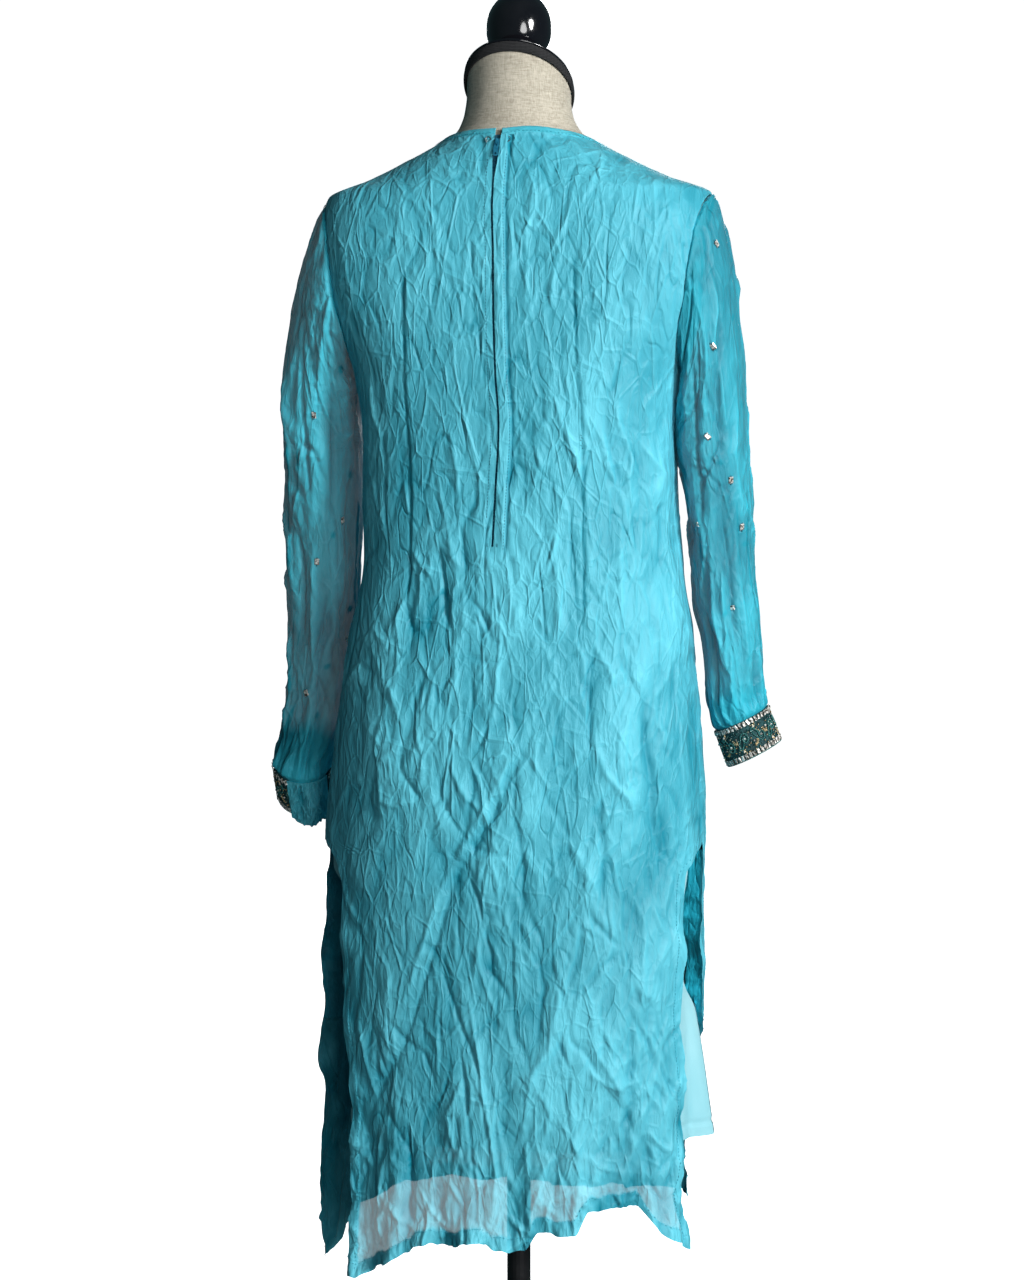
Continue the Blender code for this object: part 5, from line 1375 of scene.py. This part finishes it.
def form_points(rows, around):
    """Points of the form's cover, once round from the middle of the back over the left side."""
    angle = np.linspace(0, 4, around + 1)
    quarter = np.minimum(angle.astype(int), 3)
    place = angle - quarter
    hand = np.where(quarter < 2, 1, -1)
    share = np.where(np.isin(quarter, (0, 2)), place, 1 - place) * hand
    share, height = np.meshgrid(np.where(share == 0, hand * 1e-9, share), rows)
    behind = np.meshgrid(np.isin(quarter, (0, 3)), rows)[0]
    tuck = -6.0 * np.clip((TUCK_HEIGHT - height) / 12, 0, 1)
    found = np.where(behind[..., None], on_body("back", share, height, tuck, 1),
                     on_body("front", share, height, tuck, 1))
    found[..., 2] += np.clip((height - NECK_FOOT) / (NECK_TOP - NECK_FOOT), 0, 1) * NECK_TOP_SLOPE * found[..., 1]
    found[:, -1] = found[:, 0]
    return found


def finished(data, filled=True):
    """Fills a mesh's open ends and turns its faces outward."""
    with edited(data) as bm:
        if filled:
            bmesh.ops.holes_fill(bm, edges=[e for e in bm.edges if e.is_boundary], sides=0)
        bmesh.ops.recalc_face_normals(bm, faces=bm.faces)


rows = np.concatenate([np.linspace(FORM_BOTTOM + 1, 1340, 70), np.linspace(1344, 1418, 50),
                       np.linspace(1420, NECK_TOP, 30)])
cover = cloth_mesh("form_cover", form_points(rows, 120), linen, closed=True)
finished(cover.data)
stands_for(cover, "linen", "form_torso")

# %% Braid, cap and knob
def neck_ring(turn, grow, up, slope):
    """Points round the neck's top, wider and higher by some millimetres, on a plane that slopes to the back."""
    wide = body("half_width", NECK_TOP) - body("loose_side", NECK_TOP) + grow
    back_depth = body("back", NECK_TOP) - body("loose_back", NECK_TOP) + grow
    front_depth = body("front", NECK_TOP) - body("loose_back", NECK_TOP) + grow
    angle = np.radians(turn)
    x, y = wide * np.cos(angle), np.where(np.sin(angle) >= 0, back_depth, front_depth) * np.sin(angle)
    return np.stack([x, y, NECK_TOP + up + slope * y], axis=-1)


def ring_piece(name, section, sides, finish, slot, node, wrapped=False):
    """A ring or a cap through (wider, higher, slope) places of its section, its ends filled unless it is a ring."""
    turn = np.meshgrid(np.linspace(0, 360, sides + 1), section[:, 0])[0]
    grow, up, slope = (np.meshgrid(np.zeros(sides + 1), section[:, k])[1] for k in range(3))
    points = neck_ring(turn, grow, up, slope)
    points[:, -1] = points[:, 0]
    made = cloth_mesh(name, points, finish, closed=True)
    finished(made.data, filled=not wrapped)
    made.data.set_sharp_from_angle(angle=math.radians(60))
    return stands_for(made, slot, node)


angle = np.linspace(-0.5, 0.5, 9) * np.pi
outer = np.stack([2.2 + 1.3 * np.cos(angle), -4.7 - 4.9 * np.sin(angle), np.full(9, NECK_TOP_SLOPE)], axis=-1)
inner = [[0.9, -0.4, NECK_TOP_SLOPE]]
section = np.concatenate([inner, outer, [[0.9, -9.0, NECK_TOP_SLOPE]], inner])
ring_piece("neck_braid", section, 96, braid, "braid", "neck_trim", wrapped=True)
cap = ((2.0, 0.7, 0.6), (2.6, 1.6, 0.6), (2.2, 2.8, 0.6), (1.0, 3.8, 0.6), (-3, 5.5, 0.6), (-10, 8.2, 0.52),
       (-18, 11.0, 0.42), (-25, 15.0, 0.22), (-29.6, 19.0, 0.06), (-31, FINIAL_FOOT - NECK_TOP - 0.4, 0.0))
ring_piece("neck_dome", np.array(cap, float), 96, gloss, "gloss_black", "neck_cap")

dome = FINIAL_TOP - FINIAL_RADIUS * 1.05
profile = [(0.0, FINIAL_TOP)]
for k in range(1, 19):
    angle = math.radians(5 * k)
    profile.append((FINIAL_RADIUS * math.sin(angle), dome + (FINIAL_TOP - dome) * math.cos(angle)))
for inside, below in ((0, 8), (0.5, 12), (1.6, 16), (3.8, 20.5), (7, 25), (10.5, 28.5)):
    profile.append((FINIAL_RADIUS - inside, dome - below))
profile += [(20.0, FINIAL_FOOT + 5), (20.0, FINIAL_FOOT), (0.0, FINIAL_FOOT)]
bm = bmesh.new()
line = [bm.verts.new((r * MM, 0, z * MM)) for r, z in profile]
edges = [bm.edges.new(pair) for pair in zip(line, line[1:])]
bmesh.ops.spin(bm, geom=line + edges, cent=(0, 0, 0), axis=(0, 0, 1), angle=math.tau, steps=72, use_merge=True)
bmesh.ops.remove_doubles(bm, verts=bm.verts, dist=MERGE)
bmesh.ops.recalc_face_normals(bm, faces=bm.faces)
data = mesh_from(bm, "turned_knob")
data.shade_smooth()
data.set_sharp_from_angle(angle=math.radians(50))
stands_for(riding("turned_knob", data, gloss), "gloss_black", "finial")
print("knob faces:", len(data.polygons))

# %% [markdown]
# ## Metal, tape and stand
# The zip's tape, its slider and pull, the hook and eye, and the stand keep the shape of their solids. Each only needs
# a better finish: woven tape, blue enamel with a little wear, bent silver wire, and satin black paint.

# %% Finishes of the solids that stay
def tape_finish():
    f = Finish("zip_tape_weave", Specular_IOR_Level=0.3)
    place = f.place()
    x, z = f.part(place, 0), f.part(place, 2)
    twill = f.sine(x + z, 0.0012)
    fuzz = f.noise(place, 900.0, 2.0)
    return f.coat(f.span(twill + fuzz, -0.5, 1.4), (0.003, 0.060, 0.110), (0.014, 0.140, 0.210),
                  fuzz, (0.65, 0.85), twill * 0.00015 + fuzz * 0.0002)


tape = tape_finish()
enamel = plain_finish("blue_enamel", (0.010, 0.15, 0.26), (0.030, 0.25, 0.38), (0.25, 0.45), 260.0, 0.00004,
                      Metallic=0.3, Coat_Weight=0.4)
silver = plain_finish("silver_wire", (0.50, 0.48, 0.44), (0.72, 0.70, 0.66), (0.18, 0.34), 300.0, 0.00002, Metallic=1.0)
KEPT = {"zip_tape": tape, "zip_slider": enamel, "zip_pull": enamel, "neck_hook": silver, "neck_eye": silver,
        "pole": satin, "base": satin}
for node, finish in KEPT.items():
    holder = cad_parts[node]
    if not holder.material_slots:
        holder.data.materials.append(finish)
    holder.material_slots[0].material = finish
print("solids that keep their shape:", len(KEPT))

# %% [markdown]
# ## Many small things from one
# Sequins, beads, teeth and stitches are each made once with bmesh and copied by arithmetic into one joined mesh. A
# thousand separate objects would be slow to draw and to save, and a joined mesh still lets every copy lie at its own
# angle. A copy needs a place and three axes: along the thread, across it, and out of the cloth.

# %% Copies of a small shape
def scattered(name, shape, spots, frames, finish, smooth=True):
    """One mesh of a small shape, which is in millimetres, copied to each spot with that spot's axes as rows."""
    one = mesh_from(shape, name + "_one")
    corner = np.array([v.co[:] for v in one.vertices])
    sides = [list(p.vertices) for p in one.polygons]
    bpy.data.meshes.remove(one)
    spots, frames = np.asarray(spots, float), np.asarray(frames, float)
    placed = spots[:, None] + np.einsum("mk,nkj->nmj", corner, frames)
    faces = [[a + k * len(corner) for a in side] for k in range(len(spots)) for side in sides]
    data = bpy.data.meshes.new(name)
    data.from_pydata((placed.reshape(-1, 3) * MM).tolist(), [], faces)
    data.update()
    if smooth:
        data.shade_smooth()
        data.set_sharp_from_angle(angle=math.radians(45))
    made = riding(name, data, finish)
    print(name, len(spots), "pieces,", len(data.polygons), "faces")
    return made


def unit(vectors):
    """Directions of length 1."""
    return vectors / np.maximum(np.linalg.norm(vectors, axis=-1, keepdims=True), 1e-9)


def frames_from(along, out, turn=None):
    """Right-handed axes: x along, y across, z out; turn rotates them about z, in radians."""
    out = unit(out)
    along = unit(along - (along * out).sum(axis=-1, keepdims=True) * out)
    across = np.cross(out, along)
    if turn is not None:
        c, s = np.cos(turn)[:, None], np.sin(turn)[:, None]
        along, across = along * c + across * s, across * c - along * s
    return np.stack([along, across, out], axis=1)


def slab(length, width, height, bevel):
    """A small flat block with bevelled upper edges, standing on z = 0."""
    bm = bmesh.new()
    bmesh.ops.create_cube(bm, size=1.0)
    bmesh.ops.scale(bm, vec=(length, width, height), verts=bm.verts)
    bmesh.ops.translate(bm, vec=(0, 0, height / 2), verts=bm.verts)
    top = [e for e in bm.edges if all(v.co.z > height / 2 for v in e.verts)]
    bmesh.ops.bevel(bm, geom=top, offset=bevel, affect="EDGES", segments=1, profile=0.5, material=-1)
    return bm


def bead(long_radius, radius, sides=6):
    """A round or long bead that lies along x, half sunk in the cloth."""
    bm = bmesh.new()
    bmesh.ops.create_uvsphere(bm, u_segments=sides, v_segments=4, radius=1.0)
    bmesh.ops.scale(bm, vec=(long_radius, radius, radius), verts=bm.verts)
    bmesh.ops.translate(bm, vec=(0, 0, radius * 0.45), verts=bm.verts)
    return bm


def thread_bit(length, radius):
    """A stitch: a short bent thread that dips into the cloth at both ends."""
    bm = bmesh.new()
    bmesh.ops.create_cone(bm, cap_ends=True, segments=5, radius1=radius, radius2=radius, depth=length)
    bmesh.ops.rotate(bm, cent=(0, 0, 0), matrix=Matrix.Rotation(math.radians(90), 3, "Y"), verts=bm.verts)
    bmesh.ops.subdivide_edges(bm, edges=[e for e in bm.edges if e.calc_length() > length * 0.9], cuts=2)
    for v in bm.verts:
        v.co.z += radius * (1.1 - 2.2 * (2 * v.co.x / length) ** 2)
    return bm


print("small shapes ready")

# %% [markdown]
# ## Finishes of thread, bead and sequin
# A bead is a drop of coloured glass: nearly black, with a hard small gleam. Sequins are plated plastic, so they are
# bright metal with faint scratches, a little tarnished. The thread is matt and a shade darker than the silk.

# %% Thread, bead and sequin
def bright_finish(name, low, high, rough, **constants):
    f = Finish(name, **constants)
    place = f.place()
    spots, scratch = f.noise(place, 420.0, 1.0), f.grain(place, (900, 2600, 900))
    return f.coat(f.span(spots, 0.35, 0.65), low, high, scratch, rough, scratch * 0.00002)


silver_plate = bright_finish("sequin_plate", (0.07, 0.055, 0.04), (0.98, 0.96, 0.90), (0.18, 0.34), Metallic=0.3)
gold_glass = bright_finish("gold_bead", (0.42, 0.29, 0.12), (0.80, 0.64, 0.38), (0.18, 0.34), Metallic=0.4)
dark_glass = bright_finish("dark_bead", (0.004, 0.022, 0.024), (0.016, 0.080, 0.078), (0.10, 0.25), Coat_Weight=0.5)
teal_glass = bright_finish("teal_bead", (0.015, 0.110, 0.105), (0.060, 0.230, 0.210), (0.12, 0.28), Coat_Weight=0.4)
silk_thread = bright_finish("silk_thread", (0.006, 0.230, 0.320), (0.040, 0.400, 0.500), (0.55, 0.75))
dark_thread = bright_finish("dark_thread", (0.003, 0.110, 0.160), (0.010, 0.170, 0.230), (0.55, 0.75))
tooth_enamel = bright_finish("zip_teeth_enamel", (0.004, 0.070, 0.130), (0.014, 0.150, 0.240), (0.25, 0.40))
print("finishes of the beadwork: 7")

# %% [markdown]
# ## Finding a place on the cloth
# A sequin is sewn where the picture of the finished garment wants it, which is known across and up, but not how deep
# the crumpled cloth lies there. A ray from behind or before finds the cloth and the way it faces.

# %% Places on the cloth
def tree_of(piece):
    """A tree of a piece's faces, which a ray can meet."""
    bm = bmesh.new()
    bm.from_mesh(piece.data)
    tree = BVHTree.FromBMesh(bm)
    bm.free()
    return tree


RAY_START = 0.4


def on_cloth(tree, places, from_side=1, lift=0.2):
    """Spots and outward directions of a cloth at (x, height) places, seen from behind (1) or before (-1).

    The third result says which places met the cloth.
    """
    spots, out, met = [], [], []
    for k, (x, z) in enumerate(places):
        start, way = Vector((x * MM, RAY_START * from_side, z * MM)), Vector((0, -from_side, 0))
        hit, normal = tree.ray_cast(start, way)[:2]
        if hit is not None:
            if normal.y * from_side < 0:
                normal = -normal
            spots.append(np.array(hit) / MM + np.array(normal) * lift)
            out.append(np.array(normal))
            met.append(k)
    return np.array(spots), np.array(out), met


def spaced(run, gap):
    """Points at even gaps along a line of (x, height) points, and their directions."""
    run = np.array(run, float)
    length = np.concatenate([[0], np.hypot(*np.diff(run, axis=0).T).cumsum()])
    at = np.arange(gap / 2, length[-1], gap)
    points, after, before = (np.stack([np.interp(at + more, length, run[:, k]) for k in (0, 1)], axis=-1)
                             for more in (0, 0.4, -0.4))
    return points, after - before


trees = {"back": tree_of(back), **{side: tree_of(piece) for side, piece in sleeves.items()}}
print("cloths to sew on:", list(trees))

# %% [markdown]
# ## Sequins on the sleeves
# A handful of flat sequins is scattered down each sleeve, at uneven distances and each at its own angle. Those at
# the back stand where the garment has them; the front of each sleeve gets as many, in other places.

# %% Sleeve sequins
SEQUINS = {
    "left": (((210, 1139), (193, 1029), (218, 985), (195, 900), (235, 844)),
             ((214, 1190), (206, 1076), (228, 1010), (209, 930), (236, 866), (244, 812))),
    "right": (((-210, 1308), (-208, 1206), (-201, 1116), (-222, 1072), (-189, 1027), (-231, 1024), (-222, 941)),
              ((-214, 1240), (-224, 1150), (-200, 1090), (-226, 1004), (-204, 930), (-228, 880))),
}
spots, out = [], []
for side in SEQUINS:
    for from_side, places in zip((1, -1), SEQUINS[side]):
        found = on_cloth(trees[side], places, from_side, 0.8)
        spots.append(found[0])
        out.append(found[1])
spots, out = np.concatenate(spots), np.concatenate(out)
TIE_AT = 4.2
angles = 0.8 + 0.9 * chance(np.arange(len(spots)), 3.0, 5)
frames = frames_from(np.tile((0.0, 0.0, 1.0), (len(spots), 1)), out, angles)
scattered("sleeve_sequins", slab(6.8, 5.0, 1.0, 0.8), spots, frames, silver_plate, smooth=False)
ends = np.concatenate([spots + frames[:, 0] * TIE_AT, spots - frames[:, 0] * TIE_AT])
scattered("sleeve_sequin_ties", bead(0.9, 0.7), ends, np.concatenate([frames, frames]), dark_thread)

# %% [markdown]
# ## Embroidery of the cuffs
# Each cuff is a band of dark net under glass beads: a row of flat silver sequins along both edges, and between them
# scrolls, leaves and dots in dark teal, gold and silver. The pattern here is a plain running scroll that repeats round
# the wrist, laid out flat in millimetres round the band and down it, then bent onto the band.

# %% Laying beads on a cuff
# Millimetres of band to a degree, the pattern's repeat, the margins of its beads and of the sequins' rows, and how far
# the beads' ground lies over the band
DEGREE_MM, PITCH, EDGE_MARGIN, ROW_MARGIN, CROWN = 0.60, 19.5, 5.2, 3.2, 0.6


def on_cuff(side, round_mm, down, lift=0.0):
    """Spots, their direction round the band, their direction down it, and the direction out of it."""
    turn = BAND_RANGE[side][0] + np.asarray(round_mm, float) / DEGREE_MM
    down = np.asarray(down, float)
    spot = cuff_point(side, turn, down, CROWN + lift)
    ahead = cuff_point(side, turn + 0.6, down, CROWN + lift) - spot
    below_it = cuff_point(side, turn, down + 0.5, CROWN + lift) - spot
    out = np.cross(ahead, below_it)
    middle = sleeve_ring(side, SLEEVES[side][0][0] + 15, np.array([0.0, 180.0])).mean(axis=0)
    return spot, ahead, below_it, out * np.sign((out * (spot - middle)).sum(axis=-1, keepdims=True))


def scroll(turns=1.6, size=6.4, gap=1.55, hand=1):
    """Even points along a spiral that ends in a tail, in millimetres round and down."""
    angle = np.linspace(0, turns * math.tau, 160)
    radius = size * (1 - 0.82 * angle / angle[-1])
    x, y = radius * np.cos(angle), hand * radius * np.sin(angle)
    tail = np.linspace(1, 0, 40, endpoint=False)
    x = np.concatenate([size + 6.5 * tail, x])
    y = np.concatenate([-hand * 9.0 * tail ** 1.6, y])
    length = np.concatenate([[0], np.hypot(np.diff(x), np.diff(y)).cumsum()])
    at = np.arange(0, length[-1], gap)
    return np.stack([np.interp(at, length, x), np.interp(at, length, y)], axis=-1)


def leaf(cx, cy, angle, count=5, reach=4.6):
    """Long beads fanned like a leaf: their places and their angles."""
    fan = angle + np.linspace(-0.75, 0.75, count)
    return [(cx + reach * math.cos(a), cy + reach * math.sin(a), a) for a in fan]


def within(places, total):
    """The places that lie between the two rows of sequins, as (round, down) and what else they hold."""
    places = np.asarray(places, float)
    return places[(places[:, 0] > 1.5) & (places[:, 0] < total - 1.5) & (places[:, 1] > EDGE_MARGIN)
                  & (places[:, 1] < CUFF_WIDTH - EDGE_MARGIN)]


def beads_on(side, label, shape, places, lift, finish, turns=None):
    """Beads at (round, down) places of a cuff, turned by some radians."""
    spot, ahead, below_it, out = on_cuff(side, places[:, 0], places[:, 1], lift)
    scattered(f"cuff_{side}_{label}", shape, spot, frames_from(ahead, out, turns), finish)


MIDDLE = CUFF_WIDTH / 2
GROUND_BEADS, ROW_PITCH, EDGE_PITCH = 620, 5.0, 2.1
for side in HANDS:
    total = (BAND_RANGE[side][1] - BAND_RANGE[side][0]) * DEGREE_MM
    lines, leaves, dots = [], [], []
    for k in range(int(total // PITCH) + 1):
        hand = 1 if k % 2 else -1
        x0 = PITCH * (k + 0.5)
        lines.append(scroll(hand=hand) * (0.82, 1) + (x0, MIDDLE + 1.5 * hand))
        lines.append(scroll(turns=0.9, size=3.6, hand=-hand) * (-0.7, 0.8) + (x0 + 8.5, MIDDLE - 6.5 * hand))
        leaves += leaf(x0 + 10.2, MIDDLE + 4.0 * hand, math.pi * (0.5 + 0.25 * hand))
        leaves += leaf(x0 + 3, MIDDLE - 9.3 * hand, -0.6 * hand, 3, 3.0)
        dots += [(x0, MIDDLE + 1.5 * hand), (x0 + 10.2, MIDDLE + 4.0 * hand), (x0 + 6, MIDDLE - 10.0 * hand)]
    ground = np.arange(GROUND_BEADS)
    fill = np.stack([(ground + 0.5 + 0.4 * chance(ground, 1.0, 2)) / GROUND_BEADS * total,
                     5.5 + (CUFF_WIDTH - 11) * (0.5 + 0.5 * chance(ground, 2.0, 3))], axis=-1)
    for label, places, shape, finish, lift in (
            ("scroll", np.concatenate(lines), bead(0.85, 0.72), teal_glass, 0.5),
            ("ground", fill, bead(0.95, 0.75), dark_glass, 0.0),
            ("specks", fill[::4] + 0.8, bead(0.8, 0.6), gold_glass, 0.3),
            ("dots", dots, bead(1.2, 1.2, 8), silver_plate, 0.5)):
        places = within(places, total)
        turns = math.pi * chance(places[:, 0].round(2), places[:, 1].round(2), 4)
        beads_on(side, label, shape, places, lift, finish, turns)
    places = within(leaves, total)
    beads_on(side, "leaves", bead(1.9, 0.5), places, 0.6, gold_glass, places[:, 2])
    row = np.arange(2.2, total - 1.8, ROW_PITCH)
    for label, down in (("upper", ROW_MARGIN), ("lower", CUFF_WIDTH - ROW_MARGIN)):
        spot, ahead, below_it, out = on_cuff(side, row, np.full(len(row), down), 0.9)
        tipped = unit(out) + 0.30 * unit(ahead) * chance(row, down, 7)[:, None]
        tipped = tipped + 0.25 * unit(below_it) * chance(row, down, 8)[:, None]
        frames = frames_from(below_it, tipped, 0.26 * chance(row, down, 6) + 0.12)
        scattered(f"cuff_{side}_sequins_{label}", slab(5.4, 3.2, 0.7, 0.5), spot, frames, silver_plate,
                  smooth=False)
    edge = np.arange(1.0, total - 0.5, EDGE_PITCH)
    beads_on(side, "edging", bead(1.0, 0.75), np.stack([edge, edge * 0 + CUFF_WIDTH + 0.1], axis=-1), 0.0, teal_glass)

# %% [markdown]
# ## Zip teeth and sewing
# Inside the slash the zip's small teeth grip each other all the way down, under the slider. A line of stitches holds
# the lap over them, a bar of thread closes the slash at its foot, and rows of small stitches run along the hem, the
# slits, the armholes and the neck band. Each stitch is a bent bit of thread, sunk at both ends.

# %% The zip's teeth
TEETH_TOP, TOOTH_PITCH, TOOTH_SIDE, TOOTH_DEPTH = 1392, 1.5, 0.55, -1.2
height = np.arange(ZIP_END - 4, TEETH_TOP, TOOTH_PITCH)
side_of = np.where(np.arange(len(height)) % 2, 1.0, -1.0)
centre = zip_x(height) - body("shift", height)
length = length_of("back", height)
spots, after, before = (on_body("back", (centre + more) / length, height, TOOTH_DEPTH)
                        for more in (TOOTH_SIDE * side_of, 1.5, -1.5))
ahead = after - before
frames = frames_from(ahead, np.cross(ahead, (0.0, 0.0, 1.0)) * -1.0)
frames[:, [1, 2]] *= np.sign(frames[:, 2, 1])[:, None, None]
scattered("zip_teeth", slab(1.9, 0.95, 0.8, 0.2), spots, frames, tooth_enamel)

# %% Stitches
STITCH_GAP, LAP_SEAM, TAPE_SEAM = 3.1, -11.0, 7.5
places, directions = [], []
for seam, foot, top in ((LAP_SEAM, ZIP_END - 2, 1408), (TAPE_SEAM, ZIP_END + 30, 1405)):
    points, ahead = spaced([(float(zip_x(np.array(z))) + seam, z) for z in np.arange(foot, top, 12.0)], STITCH_GAP)
    places.append(points)
    directions.append(ahead)
bar = np.array([(x, ZIP_END + z) for x in (-5.2, 0.0, 5.2) for z in (1.5, 2.8, 4.1)]) + (7.0, 0)
mend = np.array([(-83.6 + 1.3 * (k % 2), 1104 + 2.6 * k) for k in range(6)])
for spot, way in ((bar, (1.0, 0.0)), (mend, (1.0, 0.6))):
    places.append(spot)
    directions.append(np.tile(way, (len(spot), 1)))
places, directions = np.concatenate(places), np.concatenate(directions)
spots, out, met = on_cloth(trees["back"], places, 1, 0.05)
directions = directions[met]
ahead = np.stack([directions[:, 0], directions[:, 0] * 0, directions[:, 1]], axis=-1)
scattered("zip_stitches", thread_bit(2.2, 0.32), spots, frames_from(ahead, out), dark_thread)


def sewn_line(face, across, nominal, seed):
    """Spots and axes of stitches along a line laid out on a panel."""
    spot = panel(face, across, nominal, seed)[0]
    ahead = np.gradient(spot, axis=0)
    facing = 1.0 if face == "back" else -1.0
    share = np.clip(spot[:, 0] / 205, -0.999, 0.999)
    out = np.stack([share * np.abs(share), facing * np.sqrt(1 - share ** 2), share * 0], axis=-1)
    return spot + unit(out) * 0.15, frames_from(ahead, out)


def row_near(face, across, wanted):
    """The nominal height at which a panel is at a wanted height above its hem."""
    hem = hem_line(face, across)
    return HEM_ROW + wanted * (HEM_BLEND - HEM_ROW) / (HEM_BLEND - hem)


STITCH, HEM_STEP, SLIT_STEP = (2.1, 0.3), 0.0155, 3.2
found = []
for face, seed in (("back", BACK_SEED), ("front", FRONT_SEED)):
    across = np.arange(-0.985, 0.985, HEM_STEP)
    found.append(sewn_line(face, across, row_near(face, across, HEM_FOLD - 1.2), seed))
    for hand in (-1.0, 1.0):
        nominal = np.arange(HEM_ROW + 8, 686, SLIT_STEP)
        edge = np.full(len(nominal), hand)
        height = panel_rows(face, edge, nominal)
        end = edge_share(face, edge, height) * length_of(face, height)
        middle = hand * (zip_x(height) - body("shift", height)) if face == "back" else 0.0
        across = hand * (end - SLIT_FOLD + 1.2 - middle) / (end - middle)
        found.append(sewn_line(face, across, nominal, seed))
spots, frames = (np.concatenate([pair[k] for pair in found]) for k in (0, 1))
scattered("hem_stitches", thread_bit(*STITCH), spots, frames, silk_thread)

# %% Stitches round the armholes and the neck
spots, frames = [], []
for side in HANDS:
    turn = np.arange(0, 360, 2.2)
    inner, outer = (sleeve_base(side, np.full(len(turn), t), np.full(len(turn), float(SLEEVE_TOP)), turn)
                    for t in (0.028, 0.034))
    ahead = np.gradient(inner, axis=0)
    out = np.cross(ahead, outer - inner)
    middle = inner.mean(axis=0) - np.array([HANDS[side] * 20, 0, 0])
    out = out * np.sign((out * (inner - middle)).sum(axis=-1, keepdims=True))
    spots.append(inner + unit(out) * 0.6)
    frames.append(frames_from(ahead, out))
for face, steps in (("back", 60), ("front", 110)):
    side_places = np.linspace(-0.985, 0.985, steps)
    spot = neck_line(face, side_places, np.full(steps, BINDING_WIDTH - 1.0), np.full(steps, 1.35))
    keep = np.abs(side_places) > (0.03 if face == "back" else -1)
    ahead = np.gradient(spot, axis=0)
    out = np.stack([spot[:, 0], spot[:, 1], np.full(steps, 40.0)], axis=-1)
    spots.append(spot[keep])
    frames.append(frames_from(ahead, out)[keep])
scattered("seam_stitches", thread_bit(*STITCH), np.concatenate(spots), np.concatenate(frames), silk_thread)

# %% [markdown]
# ## The cloth's pieces
# The cloth is in six pieces: the back and the front as the panels that show, a sleeve all round its tube on each side,
# and a lining at the back and at the front, of which the part below the body shows.

# %% Sheets
print("cloth pieces: back, front, two sleeves, two linings")

# %% [markdown]
# ## Floor, backdrop and light
# The garment stands on a pale floor before a white backdrop. One broad light from its right and behind models the
# creases, a weaker and larger one fills its shadows, a third lights the front, and the room adds a faint blue.

# %% Floor and backdrop
def stage_finish(name, color, glow):
    f = Finish(name, Roughness=0.9, Specular_IOR_Level=0.1, Emission_Strength=glow)
    cloud = f.noise(f.place(), 2.0, 2.0)
    tone = f.mix(f.span(cloud, 0.3, 0.7), color, tuple(min(1.0, c * 1.02) for c in color))
    f.feed(Base_Color=tone, Emission_Color=tone)
    return f.material


FLOOR_RADIUS, BACKDROP_RADIUS = 30, 32
bm = bmesh.new()
bmesh.ops.create_circle(bm, cap_ends=True, segments=96, radius=FLOOR_RADIUS)
floor = linked("floor", mesh_from(bm, "floor"))
bm = bmesh.new()
bmesh.ops.create_uvsphere(bm, u_segments=64, v_segments=32, radius=BACKDROP_RADIUS)
bmesh.ops.bisect_plane(bm, geom=bm.verts[:] + bm.edges[:] + bm.faces[:], plane_co=(0, 0, -0.5), plane_no=(0, 0, 1),
                       clear_inner=True)
bmesh.ops.reverse_faces(bm, faces=bm.faces)
backdrop = linked("backdrop", mesh_from(bm, "backdrop"))
backdrop.data.shade_smooth()
for piece, finish in ((floor, stage_finish("pale_floor", (0.94, 0.94, 0.94), 1.1)),
                      (backdrop, stage_finish("white_backdrop", (1.0, 1.0, 1.0), 1.0))):
    piece.data.materials.append(finish)
    piece.visible_diffuse = False
    piece.visible_glossy = False
backdrop.visible_shadow = False
print("floor", 2 * FLOOR_RADIUS, "m across, backdrop", BACKDROP_RADIUS, "m away")

# %% Lights
LIT_POINT = Vector((0, 0, 0.9))


def area_light(name, toward, distance, size, power):
    """A round light that looks at the middle of the garment from a direction."""
    data = bpy.data.lights.new(name, "AREA")
    data.shape, data.size, data.energy = "DISK", size, power
    direction = Vector(toward).normalized()
    made = linked(name, data)
    made.location = LIT_POINT + distance * direction
    made.rotation_euler = (-direction).to_track_quat("-Z", "Y").to_euler()


area_light("key", (-0.82, 0.58, 0.34), 4.0, 0.9, 188)
area_light("front", (0.10, -0.97, 0.22), 4.5, 2.2, 70)
area_light("fill", (-0.46, 0.88, 0.12), 4.5, 1.8, 74)
world = bpy.data.worlds.new("room")
world.use_nodes = True
room = world.node_tree.nodes["Background"]
room.inputs["Color"].default_value = (0.45, 0.9, 1.0, 1)
room.inputs["Strength"].default_value = 0.065
bpy.context.scene.world = world
bpy.context.scene.view_settings.view_transform = "Standard"
print("lights: key, front, fill and the room")
